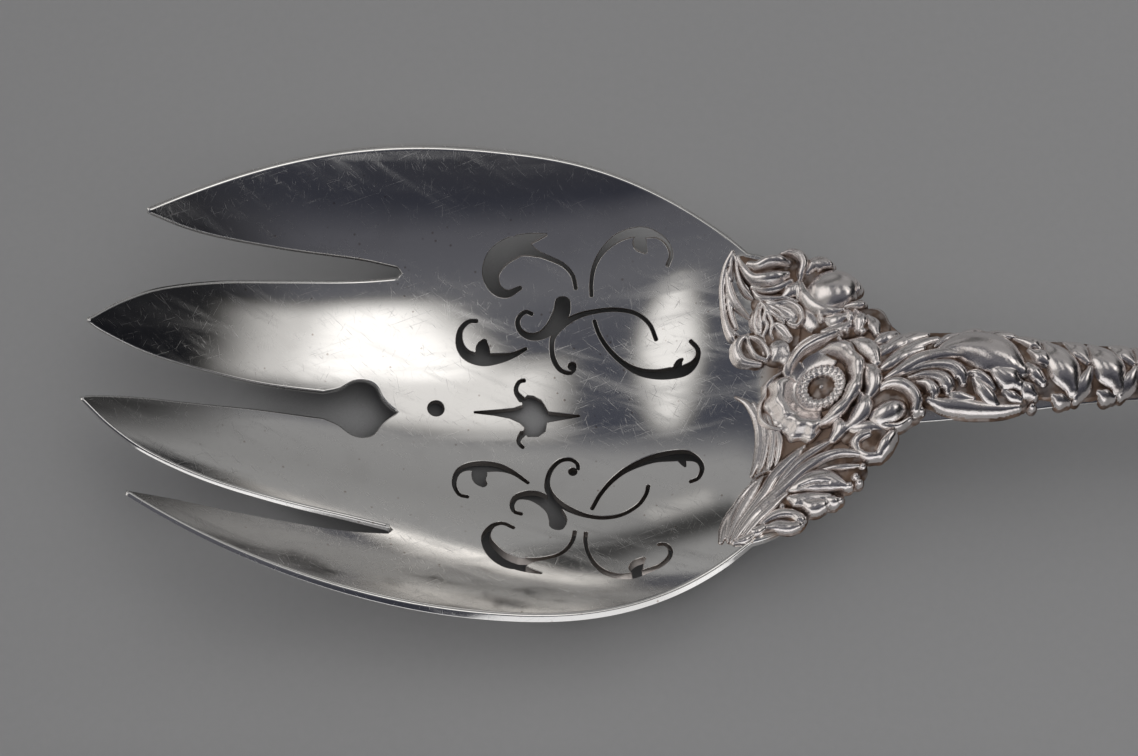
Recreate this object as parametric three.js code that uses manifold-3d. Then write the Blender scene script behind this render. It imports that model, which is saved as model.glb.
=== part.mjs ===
// Salad serving fork: a pierced, raised bowl with four tines, a shoulder dressed with applied flowers
// and leaves, and a plain-backed handle. Millimetres, +Z up. The tines point to -X and the handle to +X.
import * as THREE from 'three';
import { mergeVertices } from 'three/addons/utils/BufferGeometryUtils.js';
import Module from 'manifold-3d';

const wasm = await Module();
wasm.setup();

// Driving dimensions. Lengths along the fork are measured from the middle of the bowl's floor.
const OVERALL_LENGTH = 230;
const TINE_REACH = 60; // bowl middle to the inner tines' tips
const OUTER_TINE_REACH = 53; // bowl middle to the outer tines' tips
const OUTER_TIP_HALF_SPAN = 18.8; // midline to an outer tine's tip
const INNER_TIP_HALF_SPAN = 5.2; // midline to an inner tine's tip
const TIP_BLUNTNESS = 0.5; // flat left on a tine's tip
const BOWL_HALF_WIDTH = 31.1;
const WIDEST_POINT = -9; // where the bowl is widest
const SHEET = 1.3; // thickness of the bowl's metal
const TIP_SHEET = 0.6; // and at the tines' tips
const SHOULDER_POINT = 23; // where the rim runs into the shoulder
const SHOULDER_HALF_WIDTH = 19.7;
const TAIL_END = 42; // where the bowl's tail meets the handle
const ROOT_HALF_WIDTH = 5.9; // half width of the tail's end and of the handle's root
const ROOT_DEPTH = 4.6; // thickness of metal on the midline at the root
const CROWN = 1.5; // how far the shoulder and handle are domed across
const RIM_POWER = 2.08; // how the rim closes in towards the tines
const HEEL_POWER = 2.45; // how the rim closes in towards the shoulder
const TAIL_POWER = 1.5; // how the tail narrows to the root
const DOME_LEAD = 3; // how far before the shoulder the hollow starts to turn into a dome
const DOME_CLOSE = 4; // and how far before the root it is a full dome
const KEEL_LEAD = 6; // how far before the shoulder the keel on the back begins
const SHOULDER_BLEND = 2.5; // softness of the bend between the bowl's rise and the handle

// The hollow of the bowl: rises in millimetres at one unit of length and of width from its middle.
const HOLLOW_LENGTH = 45;
const HOLLOW_HALF_WIDTH = 30;
const LENGTHWISE_RISE = [3.04, 12.75, 4.28, 2.78]; // first to fourth power of the length
const CROSSWISE_RISE = [7.74, -5.17, 5.94]; // of the square of the width, by power of the length
const RIM_RISE = 4.32; // of the fourth power of the width

// The handle.
const CREST = 66; // where the handle is highest
const CREST_RISE = 19.2; // its top there, above the bowl's floor
const ROOT_DROP = 2.2; // how much lower its top is at the root
const NECK_START = 44;
const NECK_END = 74;
const NECK_HALF_WIDTH = 3.4;
const SPREAD_START = 88;
const SPREAD_END = 150;
const END_HALF_WIDTH = 9.4;
const END_ROUND = 17; // length of the rounded end
const END_DEPTH = 2.9; // thickness on the midline near the end
const END_CROWN = 0.8; // how far the handle is domed across near its end
const HANDLE_EDGE = 1; // thickness of the handle along its sides
const REST_LENGTH = 14; // the level stretch near the end, which rests on the table
const REST_FLAT = 0.4; // how deep the back is filed flat there
const FALL_POWER = 1.35; // how late the handle falls from its crest
const END_CROWDING = 0.35; // how much closer its facets lie near the rounded end

// Applied castings.
const SEAT_GAP = 0.3; // solder gap under and between castings
const CASTING_EDGE = 0.4; // least thickness of a casting

// Tine gaps, upper half: control points from the tips to the slots' ends.
const SLOT_END = 22; // bowl middle to the end of an outer slot
const SLOT_HALF_SPAN = 17.6; // midline to the middle of an outer slot's end
const SLOT_WIDTH = 1;
const MIDDLE_SLOT_HALF_WIDTH = 1.7;
const KEYHOLE_HALF_WIDTH = 3.8;
const KEYHOLE_MIDDLE = 26.5; // bowl middle to the widest part of the middle slot's keyhole
const KEYHOLE_POINT = 22.2; // bowl middle to the keyhole's ogee point
const ROUND_HOLE_MIDDLE = 17.2;
const ROUND_HOLE_OFFSET = 0.85; // off the midline, as on the original
const ROUND_HOLE_RADIUS = 1.05;

const FAR = 60; // beyond every face of the fork

// Fineness of the facets.
const BLANK_STEP = 3.2;
const STROKE_STEP = 1.3;
const RIM_STEPS = 40;
const HANDLE_STEPS = 46;
const HANDLE_ROWS = 10;
const BLANK_MARGIN = 2; // the blank before sawing, beyond the finished bowl
const BLANK_RADIUS = 1000; // of its faint dish
const LEAST_STROKE = 0.1; // width that a saw stroke never goes below

const polishedSilver = new THREE.MeshStandardMaterial({ color: 0xdcdad5, roughness: 0.14, metalness: 1 });
const oxidisedSilver = new THREE.MeshStandardMaterial({ color: 0xb5a89b, roughness: 0.3, metalness: 1 });

const smoothstep = THREE.MathUtils.smoothstep;
const lerp = THREE.MathUtils.lerp;

// Half width of the sheet at x, from the tines to the handle's end.
function halfWidth(x) {
  if (x < WIDEST_POINT) {
    const t = Math.min(1, (WIDEST_POINT - x) / (OUTER_TINE_REACH + WIDEST_POINT));
    return BOWL_HALF_WIDTH - (BOWL_HALF_WIDTH - OUTER_TIP_HALF_SPAN) * t ** RIM_POWER;
  }
  if (x < SHOULDER_POINT) {
    const t = (x - WIDEST_POINT) / (SHOULDER_POINT - WIDEST_POINT);
    return BOWL_HALF_WIDTH - (BOWL_HALF_WIDTH - SHOULDER_HALF_WIDTH) * t ** HEEL_POWER;
  }
  if (x < TAIL_END) {
    const t = (x - SHOULDER_POINT) / (TAIL_END - SHOULDER_POINT);
    return SHOULDER_HALF_WIDTH - (SHOULDER_HALF_WIDTH - ROOT_HALF_WIDTH) * t ** TAIL_POWER;
  }
  const neck = lerp(ROOT_HALF_WIDTH, NECK_HALF_WIDTH, smoothstep(x, NECK_START, NECK_END));
  const spread = lerp(neck, END_HALF_WIDTH, smoothstep(x, SPREAD_START, SPREAD_END));
  const t = Math.max(0, (x - HANDLE_END + END_ROUND) / END_ROUND);
  return spread * Math.sqrt(Math.max(0, 1 - t * t));
}

// Height of the top on the midline.
function bowlProfile(x) {
  const u = x / HOLLOW_LENGTH;
  return LENGTHWISE_RISE.reduce((sum, rise, power) => sum + rise * u ** (power + 1), 0);
}

function handleProfile(x) {
  if (x < CREST) {
    const t = (CREST - Math.max(x, TAIL_END)) / (CREST - TAIL_END);
    return CREST_RISE - ROOT_DROP * t * t;
  }
  const level = HANDLE_END - REST_LENGTH;
  const t = Math.min(1, (x - CREST) / (level - CREST));
  const low = floorHeight + END_DEPTH - REST_FLAT;
  return low + (CREST_RISE - low) * (1 + Math.cos(Math.PI * t ** FALL_POWER)) / 2;
}

function midHeight(x) {
  const blend = SHOULDER_BLEND * smoothstep(x, SHOULDER_POINT / 2, TAIL_END);
  if (blend === 0) return bowlProfile(x);
  const a = bowlProfile(Math.min(x, HOLLOW_LENGTH + TAIL_END));
  const b = handleProfile(x);
  return (a + b - Math.hypot(a - b, blend)) / 2;
}

// Height of the top surface anywhere: the hollow of the bowl turns into a domed shoulder and handle.
function domed(x) {
  return smoothstep(x, SHOULDER_POINT - DOME_LEAD, TAIL_END - DOME_CLOSE);
}

function topHeight(x, y) {
  const u = x / HOLLOW_LENGTH;
  const w = (y / HOLLOW_HALF_WIDTH) ** 2;
  const cross = CROSSWISE_RISE.reduce((sum, rise, power) => sum + rise * u ** power, 0);
  const hollow = cross * w + RIM_RISE * w * w;
  const crown = lerp(CROWN, END_CROWN, smoothstep(x, CREST, SPREAD_END));
  const dome = -crown * (y / Math.max(halfWidth(x), SHEET)) ** 2;
  const part = domed(x);
  return midHeight(x) + (part < 1 ? (1 - part) * hollow : 0) + (part > 0 ? part * dome : 0);
}

// Thickness: even in the bowl, with a keel under the shoulder and along the handle's back.
function thickness(x, y) {
  const q = Math.min(1, (y / Math.max(halfWidth(x), SHEET)) ** 2);
  const root = smoothstep(x, SHOULDER_POINT - KEEL_LEAD, TAIL_END);
  const far = smoothstep(x, CREST, SPREAD_END);
  const sheet = lerp(TIP_SHEET, SHEET, smoothstep(x, -TINE_REACH, WIDEST_POINT));
  const edge = lerp(sheet, HANDLE_EDGE, root);
  const spine = lerp(lerp(sheet, ROOT_DEPTH, root), END_DEPTH, far);
  return edge + (spine - edge) * (1 - q);
}

// Point of the raised metal under the plan point x, y: on the top, or on the back, square to the top.
function raise(x, y, onTop) {
  const z = topHeight(x, y);
  if (onTop) return [x, y, z];
  const step = 0.01;
  const slopeX = (topHeight(x + step, y) - topHeight(x - step, y)) / (2 * step);
  const slopeY = (topHeight(x, y + step) - topHeight(x, y - step)) / (2 * step) * (1 - domed(x));
  const normal = new THREE.Vector3(-slopeX, -slopeY, 1).normalize();
  const depth = thickness(x, y);
  return [x - normal.x * depth, y - normal.y * depth, z - normal.z * depth];
}

// The back of the inner tines' tips reaches furthest, so the overall length starts there.
const FRONT_END = raise(-TINE_REACH, INNER_TIP_HALF_SPAN, false)[0];
const HANDLE_END = FRONT_END + OVERALL_LENGTH;

// A closed body over a grid of cells with a face and a back: place(i, j, face) gives each corner.
function closedGrid(columns, rows, isRing, place) {
  const across = rows + 1;
  const count = isRing ? columns : columns + 1;
  const corners = [];
  for (let i = 0; i < count; i += 1) {
    for (let j = 0; j < across; j += 1) {
      corners.push(...place(i, j, true), ...place(i, j, false));
    }
  }
  const at = (i, j, face) => ((i % count) * across + j) * 2 + (face ? 0 : 1);
  const triangles = [];
  const quad = (a, b, c, d) => triangles.push(a, b, c, a, c, d);
  for (let i = 0; i < columns; i += 1) {
    for (let j = 0; j < rows; j += 1) {
      quad(at(i, j, true), at(i + 1, j, true), at(i + 1, j + 1, true), at(i, j + 1, true));
      quad(at(i, j, false), at(i, j + 1, false), at(i + 1, j + 1, false), at(i + 1, j, false));
    }
    quad(at(i, 0, false), at(i + 1, 0, false), at(i + 1, 0, true), at(i, 0, true));
    quad(at(i, rows, true), at(i + 1, rows, true), at(i + 1, rows, false), at(i, rows, false));
  }
  for (let j = 0; j < rows && !isRing; j += 1) {
    quad(at(0, j, true), at(0, j + 1, true), at(0, j + 1, false), at(0, j, false));
    quad(at(columns, j, false), at(columns, j + 1, false), at(columns, j + 1, true), at(columns, j, true));
  }
  const geometry = new THREE.BufferGeometry();
  geometry.setAttribute('position', new THREE.Float32BufferAttribute(corners, 3));
  geometry.setIndex(triangles);
  return welded(geometry);
}

// Shared corners are merged, collapsed triangles dropped and the faces turned outwards.
function welded(source) {
  const bare = source.clone();
  bare.deleteAttribute('normal');
  bare.deleteAttribute('uv');
  const geometry = mergeVertices(bare, 1e-4);
  const { array } = geometry.index;
  const p = geometry.attributes.position;
  const corner = [0, 1, 2].map(() => new THREE.Vector3());
  const kept = [];
  let volume = 0;
  for (let k = 0; k < array.length; k += 3) {
    const [a, b, c] = [array[k], array[k + 1], array[k + 2]];
    if (a === b || b === c || c === a) continue;
    kept.push(a, b, c);
    [a, b, c].forEach((vertex, side) => corner[side].fromBufferAttribute(p, vertex));
    volume += corner[0].dot(corner[1].cross(corner[2]));
  }
  geometry.setIndex(volume < 0 ? kept.reverse() : kept);
  return geometry;
}

function toSolid(source) {
  const geometry = welded(source);
  return new wasm.Manifold(new wasm.Mesh({
    numProp: 3,
    vertProperties: new Float32Array(geometry.attributes.position.array),
    triVerts: new Uint32Array(geometry.index.array),
  }));
}

function toGeometry(solid) {
  const mesh = solid.getMesh();
  const geometry = new THREE.BufferGeometry();
  geometry.setAttribute('position', new THREE.BufferAttribute(new Float32Array(mesh.vertProperties), 3));
  geometry.setIndex(new THREE.BufferAttribute(new Uint32Array(mesh.triVerts), 1));
  return geometry;
}

// An upright prism through the whole fork over a plan outline.
function prism(outline) {
  const shape = new THREE.Shape(outline.map(([x, y]) => new THREE.Vector2(x, y)));
  const geometry = new THREE.ExtrudeGeometry(shape, { depth: 2 * FAR, bevelEnabled: false });
  geometry.translate(0, 0, -FAR);
  return toSolid(geometry);
}

const spline = (points) => new THREE.SplineCurve(points.map(([x, y]) => new THREE.Vector2(x, y)));
const mirrored = (points) => points.map(([x, ...rest]) => [x, -rest[0], ...rest.slice(1)]);

function sampled(points, step) {
  const curve = spline(points);
  const count = Math.max(4, Math.round(curve.getLength() / step));
  return curve.getSpacedPoints(count).map((point) => [point.x, point.y]);
}

// Plan of the bowl: rim, tines and slots above the midline, then the same below.
function bowlPlan() {
  const rim = [];
  for (let k = 0; k <= RIM_STEPS; k += 1) {
    const x = lerp(TAIL_END, -OUTER_TINE_REACH, k / RIM_STEPS);
    rim.push([x, halfWidth(x)]);
  }
  const slotTop = SLOT_HALF_SPAN + SLOT_WIDTH / 2;
  const slotBottom = SLOT_HALF_SPAN - SLOT_WIDTH / 2;
  const outerTine = sampled([
    [-OUTER_TINE_REACH, OUTER_TIP_HALF_SPAN - TIP_BLUNTNESS], [-47, 17.85], [-37, 18.1], [-28, 18.4],
    [-SLOT_END - SLOT_WIDTH / 2, slotTop]], BLANK_STEP);
  const innerTine = sampled([
    [-SLOT_END - SLOT_WIDTH / 2, slotBottom], [-28, 16.15], [-37, 14.85], [-45, 13.35], [-52, 11.05],
    [-56.5, 8.4], [-TINE_REACH, INNER_TIP_HALF_SPAN + TIP_BLUNTNESS / 2]], BLANK_STEP);
  const middleEdge = sampled([
    [-TINE_REACH, INNER_TIP_HALF_SPAN - TIP_BLUNTNESS / 2], [-58.4, 4.25], [-54, 3.1], [-49, 2.45],
    [-40, MIDDLE_SLOT_HALF_WIDTH], [-KEYHOLE_MIDDLE - 5, MIDDLE_SLOT_HALF_WIDTH]], BLANK_STEP);
  const keyhole = sampled([
    [-KEYHOLE_MIDDLE - 5, MIDDLE_SLOT_HALF_WIDTH], [-KEYHOLE_MIDDLE - 3, 2.4],
    [-KEYHOLE_MIDDLE - 1.4, KEYHOLE_HALF_WIDTH - 0.3], [-KEYHOLE_MIDDLE, KEYHOLE_HALF_WIDTH],
    [-KEYHOLE_MIDDLE + 1.4, KEYHOLE_HALF_WIDTH - 0.5], [-KEYHOLE_MIDDLE + 2.3, 1.8],
    [-KEYHOLE_MIDDLE + 3.2, 0.8], [-KEYHOLE_POINT, 0]], STROKE_STEP);
  const slotTip = [-SLOT_END, SLOT_HALF_SPAN];
  const upper = [...rim, ...outerTine, slotTip, ...innerTine, ...middleEdge, ...keyhole.slice(1, -1)];
  return [...upper, [-KEYHOLE_POINT, 0], ...mirrored(upper).reverse()];
}

// Pierced scrolls. Each stroke is a line of [x, y, width] that the saw follows. They were sawn by hand,
// so the lower set is close to a mirror image of the upper one but not the same.
const UPPER_SCROLLS = [
  // Large crescent by the rim, with its tail and its barb
  [[0.75, 17, 0.4], [0.3, 18.6, 0.4], [-0.9, 19.8, 0.4], [-2.6, 20.5, 0.45], [-4.4, 21.05, 0.7],
    [-6.9, 21.7, 2.3], [-9.35, 20.5, 2.6], [-10.4, 18.6, 2.2], [-9.8, 16.85, 1.5], [-8.3, 16.2, 0.9],
    [-6.5, 17, 0.4]],
  [[-6.9, 22.2, 1.6], [-5.2, 22.7, 1.1], [-3.2, 23.2, 0.2]],
  // Leaf with its curl and its inner lobe
  [[-12.15, 12.65, 0.4], [-13.3, 12.5, 0.42], [-14.3, 11.3, 0.6], [-14.3, 9.5, 0.95], [-13.3, 8.2, 1.3],
    [-11.4, 7.75, 1.6], [-9.4, 7.95, 1.3], [-7.4, 8.45, 0.7], [-5.65, 9.35, 0.35]],
  [[-11.3, 7.9, 2], [-11.3, 9.5, 1.6], [-11.1, 10.2, 0.6]],
  // Long stroke from the ball round its hook and out along the tail, and the curl that joins it
  [[0.75, 6.7, 0.4], [0.1, 6.1, 0.42], [-1.2, 6.6, 0.5], [-2, 7.9, 0.55], [-2.3, 9.4, 0.5],
    [-2.1, 11, 0.6], [-0.9, 12.5, 0.8], [1, 13.6, 0.65], [3.3, 14.15, 0.5], [6, 14.3, 0.45],
    [8.6, 13.7, 0.42], [10.4, 12.2, 0.4], [11.3, 10.1, 0.4]],
  [[-4.95, 13.8, 0.4], [-5.9, 14.05, 0.42], [-6.8, 13, 0.5], [-6.5, 11.7, 0.6], [-5.2, 10.95, 0.85],
    [-3.6, 11.2, 1.1], [-2.1, 12.4, 1.7], [-1.1, 14.1, 2.1], [-0.95, 15.4, 1.9]],
  // Arch near the shoulder with its hanging lobe
  [[2.8, 16.1, 0.4], [2.75, 17.6, 0.4], [3.1, 19.6, 0.42], [4.1, 21.3, 0.6], [5.8, 22.7, 0.9],
    [7.8, 23.35, 1], [9.6, 23.3, 1.2], [11.2, 22.95, 0.6], [12.5, 22, 0.45], [13.1, 20.6, 0.42],
    [12.65, 19.35, 0.4]],
  [[9, 23, 1.9], [9.2, 22, 1.7], [9.6, 21.3, 0.8]],
  // Sweeping leaf that crosses the long tail and curls back
  [[3.2, 12.95, 0.4], [3.9, 11.1, 0.42], [5.2, 9.1, 0.5], [7, 7.3, 0.6], [9, 6.05, 0.9], [11.2, 5.5, 1.2],
    [13.3, 5.5, 1.5], [15.2, 5.8, 1.4], [16.45, 6.9, 0.7], [16.65, 8.3, 0.5], [15.7, 9.55, 0.4]],
  [[13.9, 5.8, 1.3], [14.3, 6.9, 0.7], [14.7, 7.25, 0.2]],
  // Hook of the cross figure
  [[-5.8, 5.1, 0.4], [-6.45, 4.95, 0.42], [-6.85, 4.2, 0.42], [-6.8, 3.4, 0.5], [-6.1, 2.5, 0.8]],
];
const LOWER_SCROLLS = [
  [[1, -16.5, 0.4], [0.8, -17.7, 0.4], [0.2, -19, 0.4], [-0.9, -20.1, 0.4], [-2.7, -20.8, 0.45],
    [-4.4, -21.15, 0.7], [-6.3, -21.75, 2], [-8.15, -21, 2.1], [-9.55, -19.4, 1.75], [-10.2, -17.6, 1.05],
    [-9.5, -16, 0.55], [-8.2, -15.45, 0.42], [-6.75, -16.1, 0.4]],
  [[-6.2, -22.2, 1.3], [-4.6, -22.9, 0.7], [-3.1, -23.3, 0.2]],
  [[-12.7, -11.65, 0.4], [-13.8, -11.35, 0.4], [-14.5, -9.9, 0.45], [-14.2, -8.2, 0.6], [-13, -7.25, 0.95],
    [-11, -7.1, 1.5], [-8.9, -7.15, 1.1], [-7, -7.85, 0.55], [-5.05, -9.3, 0.35]],
  [[-11.3, -7.3, 2], [-11.3, -8.9, 1.7], [-10.7, -9.7, 0.9]],
  [[1.3, -7.3, 0.4], [1.2, -6.5, 0.4], [0.3, -5.9, 0.42], [-1, -6.1, 0.45], [-2.1, -7.3, 0.5],
    [-2.6, -9, 0.55], [-2.35, -10.6, 0.8], [-1.2, -12.1, 0.8], [0.5, -13.3, 0.7], [2.5, -14.15, 0.5],
    [4.7, -14.5, 0.45], [7, -14.1, 0.42], [9, -12.8, 0.4], [10, -11.3, 0.4], [10.3, -10.05, 0.4]],
  [[-5.8, -13.95, 0.4], [-6.75, -13.6, 0.42], [-7.05, -12.5, 0.5], [-6.4, -11.4, 0.8], [-4.7, -11.15, 1.4],
    [-3.1, -11.8, 1.8], [-1.8, -13.1, 1.9], [-1.15, -14.7, 2.2], [-1.3, -15.6, 1.9]],
  [[2.4, -16.7, 0.4], [2.35, -18.1, 0.4], [2.7, -19.9, 0.42], [3.5, -21.6, 0.5], [4.8, -23, 0.7],
    [6.6, -23.7, 0.8], [8.4, -23.6, 1], [10.2, -22.9, 0.7], [11.7, -22.2, 0.55], [12.8, -21, 0.5],
    [12.95, -19.7, 0.45], [12.3, -18.9, 0.4], [11.5, -18.9, 0.4]],
  [[8.8, -23.3, 1.8], [8.9, -21.9, 1.9], [9.6, -21, 0.8]],
  [[3.15, -13.15, 0.4], [4.1, -11.2, 0.42], [5.4, -9.4, 0.5], [7.1, -7.85, 0.65], [9.1, -6.8, 0.9],
    [11.2, -6.15, 1.15], [13.3, -6, 1.45], [15.2, -6.15, 1.4], [16.6, -6.95, 0.65], [17.1, -8.2, 0.5],
    [16.6, -9.5, 0.4], [15.6, -9.9, 0.4]],
  [[14.4, -6.2, 1.3], [14.8, -7.2, 0.6], [15, -7.65, 0.2]],
  [[-5.8, -4.2, 0.4], [-6.3, -3.7, 0.42], [-6.4, -3.1, 0.45], [-5.9, -2.2, 0.8]],
];
const BALL_RADIUS = 0.55;
const UPPER_BALL = [0.4, 7.05];
const LOWER_BALL = [0.65, -7.65];

// The cross figure near the midline, from its long point over the top to its short point and back.
const CROSS_FIGURE = [[-12.3, 0.65], [-9.5, 0.95], [-7.2, 1.25], [-6, 1.7], [-6.1, 2.5], [-5.4, 3.05],
  [-4.6, 2.95], [-3.6, 2.4], [-3, 1.5], [-2.6, 0.8], [1.5, 0.3], [1.5, 0.15], [-2.8, -0.6], [-3, -1.9],
  [-3.9, -2.6], [-5.2, -2.65], [-5.9, -2.1], [-5.6, -1.4], [-6.3, -0.7], [-7.6, -0.1], [-9.5, 0.25],
  [-12.3, 0.5]];

function circlePlan(x, y, radius, sides) {
  return Array.from({ length: sides }, (_, k) => {
    const turn = 2 * Math.PI * k / sides;
    return [x + radius * Math.cos(turn), y + radius * Math.sin(turn)];
  });
}

// Both sides of a stroke whose width varies along it.
function strokePlan(stroke) {
  const curve = new THREE.CatmullRomCurve3(stroke.map((point) => new THREE.Vector3(...point)));
  const steps = Math.max(5, Math.round(curve.getLength() / STROKE_STEP));
  const left = [];
  const right = [];
  for (let k = 0; k <= steps; k += 1) {
    const point = curve.getPoint(k / steps);
    const along = curve.getTangent(k / steps).setZ(0).normalize();
    const half = Math.max(point.z, LEAST_STROKE) / 2;
    left.push([point.x - along.y * half, point.y + along.x * half]);
    right.push([point.x + along.y * half, point.y - along.x * half]);
  }
  return [...left, ...right.reverse()];
}

function piercings() {
  const strokes = [...UPPER_SCROLLS, ...LOWER_SCROLLS].map(strokePlan);
  const balls = [UPPER_BALL, LOWER_BALL].map(([x, y]) => circlePlan(x, y, BALL_RADIUS, 10));
  const hole = circlePlan(-ROUND_HOLE_MIDDLE, ROUND_HOLE_OFFSET, ROUND_HOLE_RADIUS, 18);
  return [...strokes, ...balls, CROSS_FIGURE, hole].map(prism);
}

// The bowl is sawn from a blank and then raised. The blank is faintly dished, so that its grid of
// facets survives the sawing.
function makeBowl() {
  const dish = (x, y) => (x * x + y * y) / (2 * BLANK_RADIUS);
  const reach = [-TINE_REACH - BLANK_MARGIN, TAIL_END + BLANK_MARGIN];
  const span = BOWL_HALF_WIDTH + BLANK_MARGIN;
  const columns = Math.round((reach[1] - reach[0]) / BLANK_STEP);
  const rows = 2 * Math.round(span / BLANK_STEP);
  const blank = toSolid(closedGrid(columns, rows, false, (i, j, face) => {
    const x = lerp(reach[0], reach[1], i / columns);
    const y = lerp(-span, span, j / rows);
    return [x, y, dish(x, y) - (face ? 0 : SHEET)];
  }));
  let sawn = blank.intersect(prism(bowlPlan()));
  for (const hole of piercings()) sawn = sawn.subtract(hole);
  const geometry = toGeometry(sawn);
  const p = geometry.attributes.position;
  for (let k = 0; k < p.count; k += 1) {
    const [x, y, z] = [p.getX(k), p.getY(k), p.getZ(k)];
    p.setXYZ(k, ...raise(x, y, z - dish(x, y) > -SHEET / 2));
  }
  return geometry;
}

const bowlGeometry = makeBowl();
bowlGeometry.computeBoundingBox();
const floorHeight = bowlGeometry.boundingBox.min.z; // the table, under the bowl's back

// The handle, plain on its back, with a small flat where it rests on the table.
function makeHandle() {
  const start = TAIL_END + SEAT_GAP;
  return closedGrid(HANDLE_STEPS, HANDLE_ROWS, false, (i, j, face) => {
    const t = i / HANDLE_STEPS;
    const x = lerp(start, HANDLE_END, lerp(t, Math.sin(Math.PI / 2 * t), END_CROWDING));
    const y = halfWidth(x) * Math.sin(Math.PI / 2 * lerp(-1, 1, j / HANDLE_ROWS));
    const [px, py, pz] = raise(x, y, face);
    return [px, py, Math.max(pz, floorHeight)];
  });
}

// A casting that follows a line in plan. width(u) and rise(u, v) shape it; v runs from -1 to 1 across.
function sweptCasting({ line, width, rise, steps = 12, across = 4 }) {
  const curve = spline(line);
  const corner = (u, v, grow) => {
    const inside = THREE.MathUtils.clamp(u, 0, 1);
    const point = curve.getPoint(inside);
    const along = curve.getTangent(inside);
    const half = width(inside) / 2 + grow;
    const past = u < 0 ? -grow : u > 1 ? grow : 0;
    return [point.x - along.y * v * half + along.x * past, point.y + along.x * v * half + along.y * past];
  };
  const body = closedGrid(steps, across, false, (i, j, face) => {
    const [u, v] = [i / steps, lerp(-1, 1, j / across)];
    const [x, y] = corner(u, v, 0);
    return [x, y, topHeight(x, y) + SEAT_GAP + (face ? CASTING_EDGE + rise(u, v) : 0)];
  });
  const room = closedGrid(steps + 2, 1, false, (i, j, face) => {
    const u = i === 0 ? -1 : i === steps + 2 ? 2 : (i - 1) / steps;
    return [...corner(u, j * 2 - 1, SEAT_GAP), face ? FAR : -FAR];
  });
  return { body: toSolid(body), room: toSolid(room) };
}

// A round casting: radius(a) is its plan and rise(r, a) its relief; r runs from 0 to 1 outwards.
function roundCasting({ x, y, radius, rise, inner = 0, rings = 3, spokes = 24 }) {
  const corner = (r, a, grow) => {
    const reach = lerp(inner, radius(a), r) + grow;
    return [x + reach * Math.cos(a), y + reach * Math.sin(a)];
  };
  const body = closedGrid(spokes, rings, true, (i, j, face) => {
    const [a, r] = [i * 2 * Math.PI / spokes, j / rings];
    const [px, py] = corner(r, a, 0);
    return [px, py, topHeight(px, py) + SEAT_GAP + (face ? CASTING_EDGE + rise(r, a) : 0)];
  });
  const room = closedGrid(spokes, 1, true, (i, j, face) => {
    const [px, py] = j === 0 ? [x, y] : corner(1, i * 2 * Math.PI / spokes, SEAT_GAP);
    return [px, py, face ? FAR : -FAR];
  });
  return { body: toSolid(body), room: toSolid(room) };
}

// Shapes that the castings share. In a leaf's or stem's relief u runs along it and v across it.
const LEAF_STALK = 0.12; // share of a leaf's outline that is left out at its stalk
const LEAF_FULLNESS = 0.8; // below 1 the leaf's sides are fuller
const STEM_TIP = 0.45; // width of a stem's tip, as a share of its root's
const VEIN_LEVEL = 0.35; // height of a leaf's middle vein, as a share of its lobes'
const EDGE_SHARE = 0.93; // how far out towards its edge a relief falls away

const rounded = (v) => Math.sqrt(Math.max(0, 1 - v * v));
const dome = (height) => (r) => height * rounded(r);
function oval(long, short, turn) {
  return (a) => long * short / Math.hypot(short * Math.cos(a - turn), long * Math.sin(a - turn));
}
function leafWidth(most) {
  const outline = (u) => Math.sin(Math.PI * lerp(LEAF_STALK, 1, u)) ** LEAF_FULLNESS;
  return (u) => lerp(CASTING_EDGE, most, Math.max(0, outline(Math.min(u, 1 - 1e-9))));
}
const stemWidth = (most) => (u) => lerp(most, most * STEM_TIP, u);
function veined(height) {
  const lobes = (v) => lerp(VEIN_LEVEL, 1, Math.abs(v)) * rounded(EDGE_SHARE * v);
  return (u, v) => height * lobes(v) * Math.sin(Math.PI * lerp(LEAF_STALK, 1 - LEAF_STALK, u));
}
const halfRound = (height) => (u, v) => height * rounded(EDGE_SHARE * v) * lerp(1, STEM_TIP, u);

// Open flower on the shoulder.
const FLOWER_X = 31.8;
const FLOWER_Y = 0.2;
const FLOWER_RADIUS = 6.9;
const FLOWER_PETALS = 8;
const STAMEN_RADIUS = 3;
const STAMENS = 16;
const STAMEN_RISE = 0.9;
const EYE_RADIUS = 1.45;
const EYE_RISE = 0.7;
const PETAL_NOTCH = 0.07; // depth of the notches between petals, as a share of the radius
const PETAL_ROOT = 0.5; // height of the petals beside the stamens
const PETAL_RISE = 1.5; // how much higher they swell
const PETAL_CREST = 0.7; // where between stamens and edge a petal is highest

const scalloped = (a) => (1 - PETAL_NOTCH) + PETAL_NOTCH * Math.cos(FLOWER_PETALS * a);
function petalRise(r, a) {
  return PETAL_ROOT + PETAL_RISE * Math.sin(Math.PI / 2 * r / PETAL_CREST) * scalloped(a) ** 2;
}
function stamenRise(r, a) {
  return STAMEN_RISE * lerp(1, rounded(2 * r - 1), VEIN_LEVEL) * (1 + PETAL_NOTCH * Math.cos(STAMENS * a));
}

// The long leaf on the neck.
const NECK_LEAF_START = 40.4;
const NECK_LEAF_END = 58.5;
const NECK_LEAF_WIDTH = 6;
const NECK_LEAF_RISE = 1.9;
const neckLeafAt = (t) => lerp(NECK_LEAF_START, NECK_LEAF_END, t);

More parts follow.
